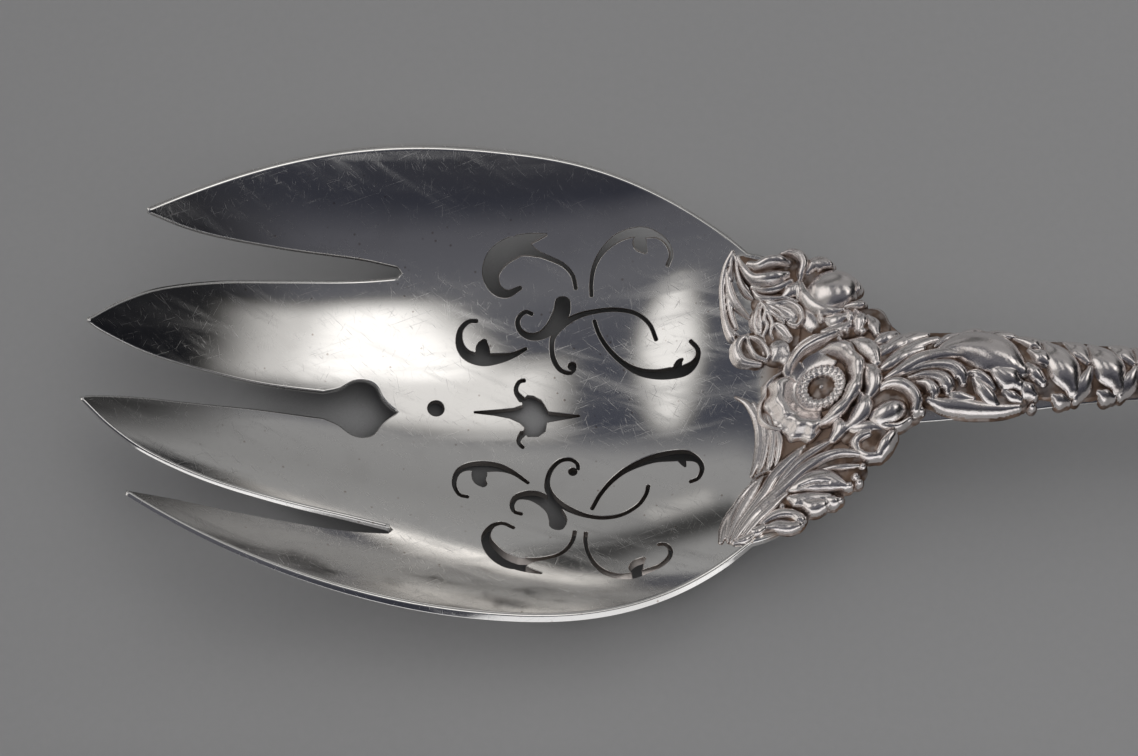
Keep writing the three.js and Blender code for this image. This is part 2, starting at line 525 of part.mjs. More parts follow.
// Each casting lies clear of the ones before it in the list.
const CASTINGS = [
  ['flower_petals', roundCasting({
    x: FLOWER_X, y: FLOWER_Y, radius: (a) => FLOWER_RADIUS * scalloped(a), rise: petalRise,
    inner: STAMEN_RADIUS + SEAT_GAP, rings: 4, spokes: 40 })],
  ['upper_bud', roundCasting({ x: 33.4, y: 13.4, radius: oval(3.2, 2.9, 0.1), rise: dome(2.3) })],
  ['cup_bud', roundCasting({
    x: 40.3, y: -4, radius: oval(2.9, 2.3, -0.35), rise: dome(1.7), spokes: 20 })],
  ['cup_flower', roundCasting({
    x: 37.6, y: -8.2, radius: oval(2.4, 1.7, 0.5), rise: dome(1.2), spokes: 20 })],
  ['upper_bud_calyx', sweptCasting({
    line: [[33.2, 17.4], [29.7, 15.7], [30, 12], [33.8, 9.6], [37.2, 9.4]],
    width: leafWidth(2), rise: halfRound(1.5), steps: 12 })],
  ['fluted_bud', sweptCasting({
    line: [[22, 18.4], [24.6, 16.9], [28.9, 16.8]], width: leafWidth(4.2), rise: veined(1.8), steps: 8 })],
  ['leaf_fan', sweptCasting({
    line: [[25, 13.4], [26.6, 10.8], [26.6, 6.6]],
    width: leafWidth(5.6), rise: veined(1.3), steps: 8, across: 6 })],
  ['curled_leaf', sweptCasting({
    line: [[25.4, 6.2], [23.4, 6.8], [21.6, 8.2]], width: leafWidth(3.2), rise: veined(1.1), steps: 8 })],
  ['shoulder_ribbon', sweptCasting({
    line: [[21.3, 18.8], [21.2, 15.5], [20.7, 12.4], [20.9, 9.4]],
    width: stemWidth(1.9), rise: halfRound(0.6), steps: 10, across: 2 })],
  ['lower_stem_long', sweptCasting({
    line: [[36, -9.4], [32.6, -9.2], [29, -10.7], [25.3, -13.9], [21.6, -18.2]],
    width: stemWidth(2.1), rise: halfRound(1), steps: 14, across: 2 })],
  ['lower_stem_middle', sweptCasting({
    line: [[31.2, -7.8], [27.4, -9.6], [24.6, -12.9], [22, -16.6], [20.7, -18.9]],
    width: stemWidth(2), rise: halfRound(0.8), steps: 14, across: 2 })],
  ['lower_stem_short', sweptCasting({
    line: [[24.2, -1.8], [25, -5.4], [24.4, -9.4], [22.4, -13.4], [20.6, -17.4]],
    width: stemWidth(1.8), rise: halfRound(0.6), steps: 14, across: 2 })],
  ['lower_leaf', sweptCasting({
    line: [[27.4, -13], [31, -12.4], [36.2, -12.4]], width: leafWidth(2.6), rise: veined(1.5), steps: 10 })],
  ['lower_leaf_tip', sweptCasting({
    line: [[22.6, -18.4], [26.2, -16.8], [30, -15.4], [34, -14.9]],
    width: leafWidth(2.4), rise: veined(1.3), steps: 12 })],
  ['neck_leaf', sweptCasting({
    line: [[neckLeafAt(0), 2.2], [neckLeafAt(1 / 3), 2.2], [neckLeafAt(2 / 3), 0.6], [neckLeafAt(1), -1.2]],
    width: leafWidth(NECK_LEAF_WIDTH), rise: veined(NECK_LEAF_RISE), steps: 14, across: 6 })],
  ['neck_side_leaf', sweptCasting({
    line: [[44.8, -3.2], [49, -4], [54.6, -4.2]], width: leafWidth(2.2), rise: veined(1.2), steps: 8 })],
];

// Leaves wound along the handle beyond the neck, each lying across it.
const WOUND_LEAVES = 5;
const WOUND_LEAF_START = 58.6;
const WOUND_LEAF_PITCH = 5.6;
const WOUND_LEAF_WIDTH = 2.9;
const WOUND_LEAF_RISE = 1.5;
const WOUND_LEAF_REACH = 0.72; // of the handle's half width
const WOUND_LEAF_BEND = 0.2; // how far its middle stays off the midline, of its reach
for (let k = 0; k < WOUND_LEAVES; k += 1) {
  const x = WOUND_LEAF_START + k * WOUND_LEAF_PITCH;
  const middle = x + WOUND_LEAF_PITCH / 2;
  const reach = WOUND_LEAF_REACH * halfWidth(middle);
  CASTINGS.push([`wound_leaf_${k + 1}`, sweptCasting({
    line: [[x, reach], [middle, WOUND_LEAF_BEND * reach], [x + WOUND_LEAF_PITCH, -reach]],
    width: leafWidth(WOUND_LEAF_WIDTH), rise: veined(WOUND_LEAF_RISE), steps: 8 })]);
}

// Blossom and two leaves on the handle's end.
const END_FLOWER_INSET = 15; // blossom's middle to the handle's end
const END_FLOWER_RADIUS = 6;
const END_LEAF_START = 6; // blossom's middle to the leaves' stalks
const END_LEAF_BEND = 15; // and to their widest part
const END_LEAF_TIP = 28; // and to their tips
const END_LEAF_OFFSET = 1.6; // midline to stalk and tip
const END_LEAF_SPREAD = 3.4; // midline to the widest part, and the leaf's width
const END_LEAF_RISE = 1.3;
const endFlowerX = HANDLE_END - END_FLOWER_INSET;
function endLeaf(side) {
  const line = [
    [endFlowerX - END_LEAF_START, side * END_LEAF_OFFSET],
    [endFlowerX - END_LEAF_BEND, side * END_LEAF_SPREAD],
    [endFlowerX - END_LEAF_TIP, side * END_LEAF_OFFSET]];
  return sweptCasting({ line, width: leafWidth(END_LEAF_SPREAD), rise: veined(END_LEAF_RISE), steps: 12 });
}
CASTINGS.push(
  ['end_flower', roundCasting({
    x: endFlowerX, y: 0, radius: (a) => END_FLOWER_RADIUS * scalloped(a), rise: petalRise,
    rings: 4, spokes: 32 })],
  ['end_leaf_upper', endLeaf(1)],
  ['end_leaf_lower', endLeaf(-1)],
);

// The flower's ring of stamens and its eye lie inside the petals.
const stamens = roundCasting({
  x: FLOWER_X, y: FLOWER_Y, radius: () => STAMEN_RADIUS, rise: stamenRise,
  inner: EYE_RADIUS + SEAT_GAP, rings: 2, spokes: 2 * STAMENS });
const eye = roundCasting({
  x: FLOWER_X, y: FLOWER_Y, radius: () => EYE_RADIUS, rise: dome(EYE_RISE), rings: 2, spokes: 16 });

const fork = new THREE.Group();
fork.position.set(-(FRONT_END + HANDLE_END) / 2, 0, -floorHeight);

function addPiece(name, geometry, material) {
  const mesh = new THREE.Mesh(geometry, material);
  mesh.name = name;
  fork.add(mesh);
}

addPiece('bowl', bowlGeometry, polishedSilver);
addPiece('handle', makeHandle(), polishedSilver);
const taken = [];
for (const [name, { body, room }] of CASTINGS) {
  const fitted = taken.reduce((solid, neighbour) => solid.subtract(neighbour), body);
  taken.push(room);
  addPiece(name, toGeometry(fitted), oxidisedSilver);
}
addPiece('flower_stamens', toGeometry(stamens.body), oxidisedSilver);
addPiece('flower_eye', toGeometry(eye.body), oxidisedSilver);

export default fork;
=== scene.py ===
"""Dresses the solid model of a silver salad serving fork: a raised and pierced bowl, a slim handle, and the
chased flowers and leaves on its shoulder. Plan places are in millimetres from the middle of the bowl's floor,
with x towards the handle; in_frame() turns them into metres in the shared frame."""

import math

import bpy
import numpy as np
from bpy.props import FloatProperty, FloatVectorProperty, IntProperty, PointerProperty
from mathutils import Matrix, Vector
from mathutils.geometry import delaunay_2d_cdt


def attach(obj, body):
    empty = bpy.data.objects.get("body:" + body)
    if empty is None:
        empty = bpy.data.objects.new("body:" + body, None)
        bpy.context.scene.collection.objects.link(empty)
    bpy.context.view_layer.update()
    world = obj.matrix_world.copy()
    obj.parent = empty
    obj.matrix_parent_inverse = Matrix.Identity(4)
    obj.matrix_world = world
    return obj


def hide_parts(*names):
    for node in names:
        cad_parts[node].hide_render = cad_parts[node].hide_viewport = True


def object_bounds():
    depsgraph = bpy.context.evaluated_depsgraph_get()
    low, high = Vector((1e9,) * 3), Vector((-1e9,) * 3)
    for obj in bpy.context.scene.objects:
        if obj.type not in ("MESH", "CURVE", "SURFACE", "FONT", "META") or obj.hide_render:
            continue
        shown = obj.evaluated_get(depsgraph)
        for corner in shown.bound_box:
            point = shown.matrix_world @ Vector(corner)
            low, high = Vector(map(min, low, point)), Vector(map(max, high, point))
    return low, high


bl_info = {
    "name": "Salad serving fork",
    "version": (1, 0, 0),
    "blender": (4, 5, 0),
    "location": "View3D > Sidebar > Fork",
    "description": "Models a pierced silver salad fork with chased flowers, and a small studio for it",
    "category": "Add Mesh",
}

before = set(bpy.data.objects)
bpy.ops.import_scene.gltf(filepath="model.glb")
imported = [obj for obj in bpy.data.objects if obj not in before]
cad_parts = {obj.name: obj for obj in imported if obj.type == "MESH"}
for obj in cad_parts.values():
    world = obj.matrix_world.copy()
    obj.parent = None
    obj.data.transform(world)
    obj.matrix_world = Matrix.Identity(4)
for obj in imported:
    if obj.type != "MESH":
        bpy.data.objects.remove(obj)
CAD_LOW, CAD_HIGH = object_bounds()
MM = 0.001

# Sizes of the sheet and the handle, the same as in the solid model.
OVERALL_LENGTH = (CAD_HIGH.x - CAD_LOW.x) / MM
TINE_REACH = 60.0
OUTER_TINE_REACH = 53.0
OUTER_TIP_HALF_SPAN = 18.8
INNER_TIP_HALF_SPAN = 5.2
TIP_BLUNTNESS = 0.5
BOWL_HALF_WIDTH = 31.1
WIDEST_POINT = -9.0
SHEET = 1.3
TIP_SHEET = 0.6
SHOULDER_POINT = 23.0
SHOULDER_HALF_WIDTH = 19.7
TAIL_END = 42.0
ROOT_HALF_WIDTH = 5.9
ROOT_DEPTH = 4.6
CROWN = 1.5
RIM_POWER = 2.08
HEEL_POWER = 2.45
TAIL_POWER = 1.5
HOLLOW_LENGTH = 45.0
HOLLOW_HALF_WIDTH = 30.0
LENGTHWISE_RISE = (3.04, 12.75, 4.28, 2.78)
CROSSWISE_RISE = (7.74, -5.17, 5.94)
RIM_RISE = 4.32
SHOULDER_BLEND = 2.5
DOME_LEAD = 3.0
DOME_CLOSE = 4.0
KEEL_LEAD = 6.0
CREST = 66.0
CREST_RISE = 19.2
ROOT_DROP = 2.2
NECK_START = 44.0
NECK_END = 74.0
NECK_HALF_WIDTH = 3.4
SPREAD_START = 88.0
SPREAD_END = 150.0
END_HALF_WIDTH = 9.4
END_ROUND = 17.0
END_DEPTH = 2.9
END_CROWN = 0.8
HANDLE_EDGE = 1.0
REST_LENGTH = 14.0
REST_FLAT = 0.4
FALL_POWER = 1.35
SLOT_END = 22.0
SLOT_HALF_SPAN = 17.6
SLOT_WIDTH = 1.0
MIDDLE_SLOT_HALF_WIDTH = 1.7
KEYHOLE_HALF_WIDTH = 3.8
KEYHOLE_MIDDLE = 26.5
KEYHOLE_POINT = 22.2
ROUND_HOLE = (-17.2, 0.85)
ROUND_HOLE_RADIUS = 1.05
# Points that the tines' edges pass between their tips and their slots.
OUTER_TINE_EDGE = ((-47, 17.85), (-37, 18.1), (-28, 18.4))
INNER_TINE_EDGE = ((-28, 16.15), (-37, 14.85), (-45, 13.35), (-52, 11.05), (-56.5, 8.4))
MIDDLE_SLOT_EDGE = ((-58.4, 4.25), (-54, 3.1), (-49, 2.45), (-40, MIDDLE_SLOT_HALF_WIDTH))
# The keyhole's edge from the slot to its point: place along the fork from its middle, and half width.
KEYHOLE_EDGE = (
    (-5, MIDDLE_SLOT_HALF_WIDTH),
    (-3, 2.4),
    (-1.4, KEYHOLE_HALF_WIDTH - 0.3),
    (0, KEYHOLE_HALF_WIDTH),
    (1.4, KEYHOLE_HALF_WIDTH - 0.5),
    (2.3, 1.8),
    (3.2, 0.8),
)
# How finely outlines are drawn: stations along the rim, steps round a stroke's end, sides of round holes.
RIM_STATIONS = 220
CAP_STEPS = 6
BALL_SIDES = 20
HOLE_SIDES = 40
# The sheet's mesh: room between grid points and edges as a share of their spacing, gap within which points
# are one, squared gap of a point on the rim, largest rounding as a share of the thickness, steps for slopes
# and normals, and the least length that is divided by.
GRID_CLEARANCE = 0.45
MERGE_GAP = 1e-5
ON_RIM_GAP = 1e-6
RIM_SHARE = 0.3
SLOPE_STEP = 0.01
NORMAL_STEP = 0.02
TINY = 1e-9
# The handle's seam, in metres.
WELD_GAP = 1e-7
# Part of the bowl that can rest on the table: from and to along the fork, and half width; and the points
# along and across it that are tried.
REST_PATCH = (-20, 10, 4)
REST_POINTS = (121, 33)
# The handle's bar: overlap with the tail, how far its rings crowd towards the end, and the powers that square
# its section sideways and upwards.
ROOT_OVERLAP = 0.05
END_CROWDING = 0.35
BAR_SIDE_POWER = 0.75
BAR_FACE_POWER = 0.4
# Where along the handle its tarnish fades, and how wide its bare edges are as a share of the half width.
HANDLE_TARNISH = (70.0, 92.0)
BARE_EDGE = 0.4


def smoothstep(x, low, high):
    """0 below low, 1 above high, and a soft step between."""
    t = np.clip((np.asarray(x, float) - low) / (high - low), 0, 1)
    return t * t * (3 - 2 * t)


def lerp(a, b, t):
    """From a to b as t goes from 0 to 1."""
    return a + (b - a) * t


# The sheet's shape.


def half_width(x):
    """Half width of the sheet at x, from the tines to the handle's end."""
    x = np.asarray(x, float)
    t = np.clip((WIDEST_POINT - x) / (OUTER_TINE_REACH + WIDEST_POINT), 0, 1)
    rim = lerp(BOWL_HALF_WIDTH, OUTER_TIP_HALF_SPAN, t**RIM_POWER)
    t = np.clip((x - WIDEST_POINT) / (SHOULDER_POINT - WIDEST_POINT), 0, 1)
    heel = lerp(BOWL_HALF_WIDTH, SHOULDER_HALF_WIDTH, t**HEEL_POWER)
    t = np.clip((x - SHOULDER_POINT) / (TAIL_END - SHOULDER_POINT), 0, 1)
    tail = lerp(SHOULDER_HALF_WIDTH, ROOT_HALF_WIDTH, t**TAIL_POWER)
    neck = lerp(ROOT_HALF_WIDTH, NECK_HALF_WIDTH, smoothstep(x, NECK_START, NECK_END))
    spread = lerp(neck, END_HALF_WIDTH, smoothstep(x, SPREAD_START, SPREAD_END))
    t = np.clip((x - HANDLE_END + END_ROUND) / END_ROUND, 0, 1)
    bar = spread * np.sqrt(1 - t * t)
    return np.select([x < WIDEST_POINT, x < SHOULDER_POINT, x < TAIL_END], [rim, heel, tail], bar)


def bowl_profile(x):
    """Height of the bowl's top along its midline."""
    u = x / HOLLOW_LENGTH
    return sum(rise * u ** (power + 1) for power, rise in enumerate(LENGTHWISE_RISE))


def handle_profile(x):
    """Height of the handle's top along its midline."""
    t = (CREST - np.maximum(x, TAIL_END)) / (CREST - TAIL_END)
    near = CREST_RISE - ROOT_DROP * t * t
    t = np.clip((x - CREST) / (HANDLE_END - REST_LENGTH - CREST), 0, 1)
    low = TABLE + END_DEPTH - REST_FLAT
    far = low + (CREST_RISE - low) * (1 + np.cos(np.pi * t**FALL_POWER)) / 2
    return np.where(x < CREST, near, far)


def domed(x):
    """0 in the hollow bowl, 1 where the shoulder and the handle are domed."""
    return smoothstep(x, SHOULDER_POINT - DOME_LEAD, TAIL_END - DOME_CLOSE)


def top_height(x, y):
    """Height of the metal's top over the plan."""
    x, y = np.asarray(x, float), np.asarray(y, float)
    blend = SHOULDER_BLEND * smoothstep(x, SHOULDER_POINT / 2, TAIL_END)
    bowl = bowl_profile(np.minimum(x, HOLLOW_LENGTH + TAIL_END))
    bar = handle_profile(x)
    mid = np.where(blend > 0, (bowl + bar - np.hypot(bowl - bar, blend)) / 2, bowl)
    w = (y / HOLLOW_HALF_WIDTH) ** 2
    u = x / HOLLOW_LENGTH
    cross = sum(rise * u**power for power, rise in enumerate(CROSSWISE_RISE))
    hollow = cross * w + RIM_RISE * w * w
    crown = lerp(CROWN, END_CROWN, smoothstep(x, CREST, SPREAD_END))
    dome = -crown * (y / np.maximum(half_width(x), SHEET)) ** 2
    part = domed(x)
    return mid + np.where(part < 1, (1 - part) * hollow, 0) + part * dome


def thickness(x, y):
    """Thickness of the sheet and of the handle's bar over the plan."""
    q = np.minimum(1, (y / np.maximum(half_width(x), SHEET)) ** 2)
    root = smoothstep(x, SHOULDER_POINT - KEEL_LEAD, TAIL_END)
    sheet = lerp(TIP_SHEET, SHEET, smoothstep(x, -TINE_REACH, WIDEST_POINT))
    edge = lerp(sheet, HANDLE_EDGE, root)
    spine = lerp(lerp(sheet, ROOT_DEPTH, root), END_DEPTH, smoothstep(x, CREST, SPREAD_END))
    return edge + (spine - edge) * (1 - q)


def top_normal(x, y):
    """Direction square to the sheet; across the domed handle it stays upright, as on the solid model."""
    step = SLOPE_STEP
    slope_x = (top_height(x + step, y) - top_height(x - step, y)) / (2 * step)
    slope_y = (top_height(x, y + step) - top_height(x, y - step)) / (2 * step) * (1 - domed(x))
    normal = np.stack([-slope_x, -slope_y, np.ones_like(slope_x)], axis=-1)
    return normal / np.linalg.norm(normal, axis=-1, keepdims=True)


def raised(x, y, depth):
    """Points of the metal under the plan points, that far below the top, square to it."""
    top = np.stack([x, y, top_height(x, y)], axis=-1)
    return top - top_normal(x, y) * np.asarray(depth)[..., None]


def back_points(x, y):
    """Points of the metal's back under the plan points."""
    return raised(x, y, thickness(x, y))


def tip_reach():
    """How far the back of the longest tine reaches, which the raising moves a little."""
    return float(back_points(np.array([-TINE_REACH]), np.array([INNER_TIP_HALF_SPAN]))[0, 0])


def table_height():
    """Height of the lowest point of the bowl's back."""
    first, last, side = REST_PATCH
    along, across = REST_POINTS
    x, y = np.meshgrid(np.linspace(first, last, along), np.linspace(-side, side, across))
    return float(back_points(x.ravel(), y.ravel())[:, 2].min())


# Where the handle ends and how high the table is: first values that the shape needs, then the true ones.
HANDLE_END = OVERALL_LENGTH - TINE_REACH
TABLE = 0.0
HANDLE_END = tip_reach() + OVERALL_LENGTH
TABLE = table_height()
ORIGIN = np.array([CAD_HIGH.x / MM - HANDLE_END, 0, CAD_LOW.z / MM - TABLE])


def in_frame(points):
    """Plan millimetres to metres in the shared frame, never below the table."""
    placed = (np.asarray(points, float) + ORIGIN) * MM
    placed[:, 2] = np.maximum(placed[:, 2], CAD_LOW.z)
    return placed


# Pierced scrolls: each stroke is a line of [x, y, width] that the saw follows.
UPPER_SCROLLS = (
    # Large crescent by the rim, with its tail and its barb
    ((0.75, 17, 0.4), (0.3, 18.6, 0.4), (-0.9, 19.8, 0.4), (-2.6, 20.5, 0.45), (-4.4, 21.05, 0.7),
     (-6.9, 21.7, 2.3), (-9.35, 20.5, 2.6), (-10.4, 18.6, 2.2), (-9.8, 16.85, 1.5), (-8.3, 16.2, 0.9),
     (-6.5, 17, 0.4)),
    ((-6.9, 22.2, 1.6), (-5.2, 22.7, 1.1), (-3.2, 23.2, 0.2)),
    # Leaf with its curl and its inner lobe
    ((-12.15, 12.65, 0.4), (-13.3, 12.5, 0.42), (-14.3, 11.3, 0.6), (-14.3, 9.5, 0.95), (-13.3, 8.2, 1.3),
     (-11.4, 7.75, 1.6), (-9.4, 7.95, 1.3), (-7.4, 8.45, 0.7), (-5.65, 9.35, 0.35)),
    ((-11.3, 7.9, 2), (-11.3, 9.5, 1.6), (-11.1, 10.2, 0.6)),
    # Long stroke from the ball round its hook and out along the tail, and the curl that joins it
    ((0.75, 6.7, 0.4), (0.1, 6.1, 0.42), (-1.2, 6.6, 0.5), (-2, 7.9, 0.55), (-2.3, 9.4, 0.5),
     (-2.1, 11, 0.6), (-0.9, 12.5, 0.8), (1, 13.6, 0.65), (3.3, 14.15, 0.5), (6, 14.3, 0.45),
     (8.6, 13.7, 0.42), (10.4, 12.2, 0.4), (11.3, 10.1, 0.4)),
    ((-4.95, 13.8, 0.4), (-5.9, 14.05, 0.42), (-6.8, 13, 0.5), (-6.5, 11.7, 0.6), (-5.2, 10.95, 0.85),
     (-3.6, 11.2, 1.1), (-2.1, 12.4, 1.7), (-1.1, 14.1, 2.1), (-0.95, 15.4, 1.9)),
    # Arch near the shoulder with its hanging lobe
    ((2.8, 16.1, 0.4), (2.75, 17.6, 0.4), (3.1, 19.6, 0.42), (4.1, 21.3, 0.6), (5.8, 22.7, 0.9),
     (7.8, 23.35, 1), (9.6, 23.3, 1.2), (11.2, 22.95, 0.6), (12.5, 22, 0.45), (13.1, 20.6, 0.42),
     (12.65, 19.35, 0.4)),
    ((8.9, 23.2, 0.6), (8.9, 22.5, 1.7), (9.2, 21.8, 1.5), (9.8, 21.1, 0.4)),
    # Sweeping leaf that crosses the long tail and curls back
    ((3.2, 12.95, 0.4), (3.9, 11.1, 0.42), (5.2, 9.1, 0.5), (7, 7.3, 0.6), (9, 6.05, 0.9), (11.2, 5.5, 1.2),
     (13.3, 5.5, 1.5), (15.2, 5.8, 1.4), (16.45, 6.9, 0.7), (16.65, 8.3, 0.5), (15.7, 9.55, 0.4)),
    ((13.9, 5.8, 1.3), (14.3, 6.9, 0.7), (14.7, 7.25, 0.2)),
    # Hook of the cross figure
    ((-5.8, 5.1, 0.4), (-6.45, 4.95, 0.42), (-6.85, 4.2, 0.42), (-6.8, 3.4, 0.5), (-6.1, 2.5, 0.8)),
)
LOWER_SCROLLS = (
    ((1, -16.5, 0.4), (0.8, -17.7, 0.4), (0.2, -19, 0.4), (-0.9, -20.1, 0.4), (-2.7, -20.8, 0.45),
     (-4.4, -21.15, 0.7), (-6.3, -21.75, 2), (-8.15, -21, 2.1), (-9.55, -19.4, 1.75), (-10.2, -17.6, 1.05),
     (-9.5, -16, 0.55), (-8.2, -15.45, 0.42), (-6.75, -16.1, 0.4)),
    ((-6.2, -22.2, 1.3), (-4.6, -22.9, 0.7), (-3.1, -23.3, 0.2)),
    ((-12.7, -11.65, 0.4), (-13.8, -11.35, 0.4), (-14.5, -9.9, 0.45), (-14.2, -8.2, 0.6), (-13, -7.25, 0.95),
     (-11, -7.1, 1.5), (-8.9, -7.15, 1.1), (-7, -7.85, 0.55), (-5.05, -9.3, 0.35)),
    ((-11.3, -7.3, 2), (-11.3, -8.9, 1.7), (-10.7, -9.7, 0.9)),
    ((1.3, -7.3, 0.4), (1.2, -6.5, 0.4), (0.3, -5.9, 0.42), (-1, -6.1, 0.45), (-2.1, -7.3, 0.5),
     (-2.6, -9, 0.55), (-2.35, -10.6, 0.8), (-1.2, -12.1, 0.8), (0.5, -13.3, 0.7), (2.5, -14.15, 0.5),
     (4.7, -14.5, 0.45), (7, -14.1, 0.42), (9, -12.8, 0.4), (10, -11.3, 0.4), (10.3, -10.05, 0.4)),
    ((-5.8, -13.95, 0.4), (-6.75, -13.6, 0.42), (-7.05, -12.5, 0.5), (-6.4, -11.4, 0.8), (-4.7, -11.15, 1.4),
     (-3.1, -11.8, 1.8), (-1.8, -13.1, 1.9), (-1.15, -14.7, 2.2), (-1.3, -15.6, 1.9)),
    ((2.4, -16.7, 0.4), (2.35, -18.1, 0.4), (2.7, -19.9, 0.42), (3.5, -21.6, 0.5), (4.8, -23, 0.7),
     (6.6, -23.7, 0.8), (8.4, -23.6, 1), (10.2, -22.9, 0.7), (11.7, -22.2, 0.55), (12.8, -21, 0.5),
     (12.95, -19.7, 0.45), (12.3, -18.9, 0.4), (11.5, -18.9, 0.4)),
    ((8.6, -23.3, 0.6), (8.6, -22.6, 1.7), (8.9, -21.8, 1.5), (9.7, -20.9, 0.4)),
    ((3.15, -13.15, 0.4), (4.1, -11.2, 0.42), (5.4, -9.4, 0.5), (7.1, -7.85, 0.65), (9.1, -6.8, 0.9),
     (11.2, -6.15, 1.15), (13.3, -6, 1.45), (15.2, -6.15, 1.4), (16.6, -6.95, 0.65), (17.1, -8.2, 0.5),
     (16.6, -9.5, 0.4), (15.6, -9.9, 0.4)),
    ((14.4, -6.2, 1.3), (14.8, -7.2, 0.6), (15, -7.65, 0.2)),
    ((-5.8, -4.2, 0.4), (-6.3, -3.7, 0.42), (-6.4, -3.1, 0.45), (-5.9, -2.2, 0.8)),
)
LEAST_STROKE = 0.1
# How far a stroke's ends bulge, as a share of a half circle.
STROKE_ROUNDING = 0.7
# Round ends of the two long strokes.
BALL_RADIUS = 0.55
BALLS = ((0.4, 7.05), (0.65, -7.65))
# Tarnish on the sawn walls, and where along the tail it grows under the castings.
SAWN_TARNISH = 0.5
BOWL_TARNISH = (24.0, 26.5)
# Outline of the cross between the scrolls.
CROSS_FIGURE = (
    (-12.3, 0.65), (-9.5, 0.95), (-7.2, 1.25), (-6, 1.7), (-6.1, 2.5), (-5.4, 3.05), (-4.6, 2.95),
    (-3.6, 2.4), (-3, 1.5), (-2.6, 0.8), (1.5, 0.3), (1.5, 0.15), (-2.8, -0.6), (-3, -1.9),
    (-3.9, -2.6), (-5.2, -2.65), (-5.9, -2.1), (-5.6, -1.4), (-6.3, -0.7), (-7.6, -0.1), (-9.5, 0.25),
    (-12.3, 0.5),
)

# Ground of the castings: broad, flat strokes of [x, y, width, rise] that the chased work stands on.
PADS = {
    "fluted_bud": (
        ((22.2, 18.7, 1.4, 0.4), (24.3, 17, 4, 0.6), (27, 16.7, 5, 0.7), (29, 16.4, 4.6, 0.6)),
    ),
    "leaf_fan": (
        ((24.6, 13.2, 2.4, 0.4), (26, 11, 5.6, 0.5), (26.8, 8.8, 5.4, 0.5), (26.8, 6.6, 4.6, 0.4)),
    ),
    "curled_leaf": (((23.2, 8.6, 1.8, 0.4), (23.4, 7.2, 3.6, 0.6), (24, 5.6, 2.4, 0.4)),),
    "upper_bud_calyx": (
        ((31, 16.4, 2.6, 0.5), (32.4, 13, 6.6, 0.7), (33.6, 10, 6.4, 0.7), (35.4, 8.4, 4.4, 0.5)),
        ((36.6, 9.6, 1.6, 0.5), (38.2, 8.2, 3.2, 0.5), (39.6, 6.8, 1.6, 0.4)),
    ),
    "lower_stem_long": (
        ((36, -9.6, 1.6, 0.5), (32, -9.9, 2.6, 0.6), (27, -12.6, 3, 0.5), (22, -18, 2, 0.4)),
    ),
    "lower_stem_middle": (
        ((32.4, -7.4, 1.6, 0.4), (28.6, -9, 3, 0.5), (24.8, -12.8, 2.4, 0.4), (20.8, -18.8, 1.2, 0.3)),
    ),
    "lower_leaf": (
        ((28, -13, 1.6, 0.5), (31, -12.6, 3.2, 0.7), (34, -12.6, 2.8, 0.6), (36.2, -11.6, 1.8, 0.5)),
    ),
    "lower_leaf_tip": (
        ((27.4, -14.2, 1.4, 0.5), (30, -14.8, 2.4, 0.6), (33.6, -14.8, 1.4, 0.5)),
        ((22.4, -18.4, 1.4, 0.4), (25.4, -17.2, 2.4, 0.5), (28.6, -17.2, 1.8, 0.5)),
    ),
    "cup_bud": (((37.6, -2, 2, 0.5), (40, -3.8, 5.4, 0.6), (42.4, -4.4, 3.4, 0.5)),),
    "cup_flower": (((35.4, -6.6, 3, 0.5), (37.4, -7.6, 4.4, 0.6), (38.8, -9, 2.6, 0.5)),),
    "neck_leaf": (
        ((37.6, 3, 3.6, 0.5), (41, 2.2, 7.2, 0.6), (46, 1.4, 8.6, 0.7), (51, 0.8, 8.8, 0.7),
         (56, 0.2, 8.4, 0.7), (59.4, 0, 6.6, 0.6)),
    ),
    "neck_side_leaf": (
        ((44.4, -3.6, 1.6, 0.5), (48, -4.2, 2.6, 0.6), (53, -4.4, 2.4, 0.6), (56, -4.4, 1.2, 0.5)),
    ),
}
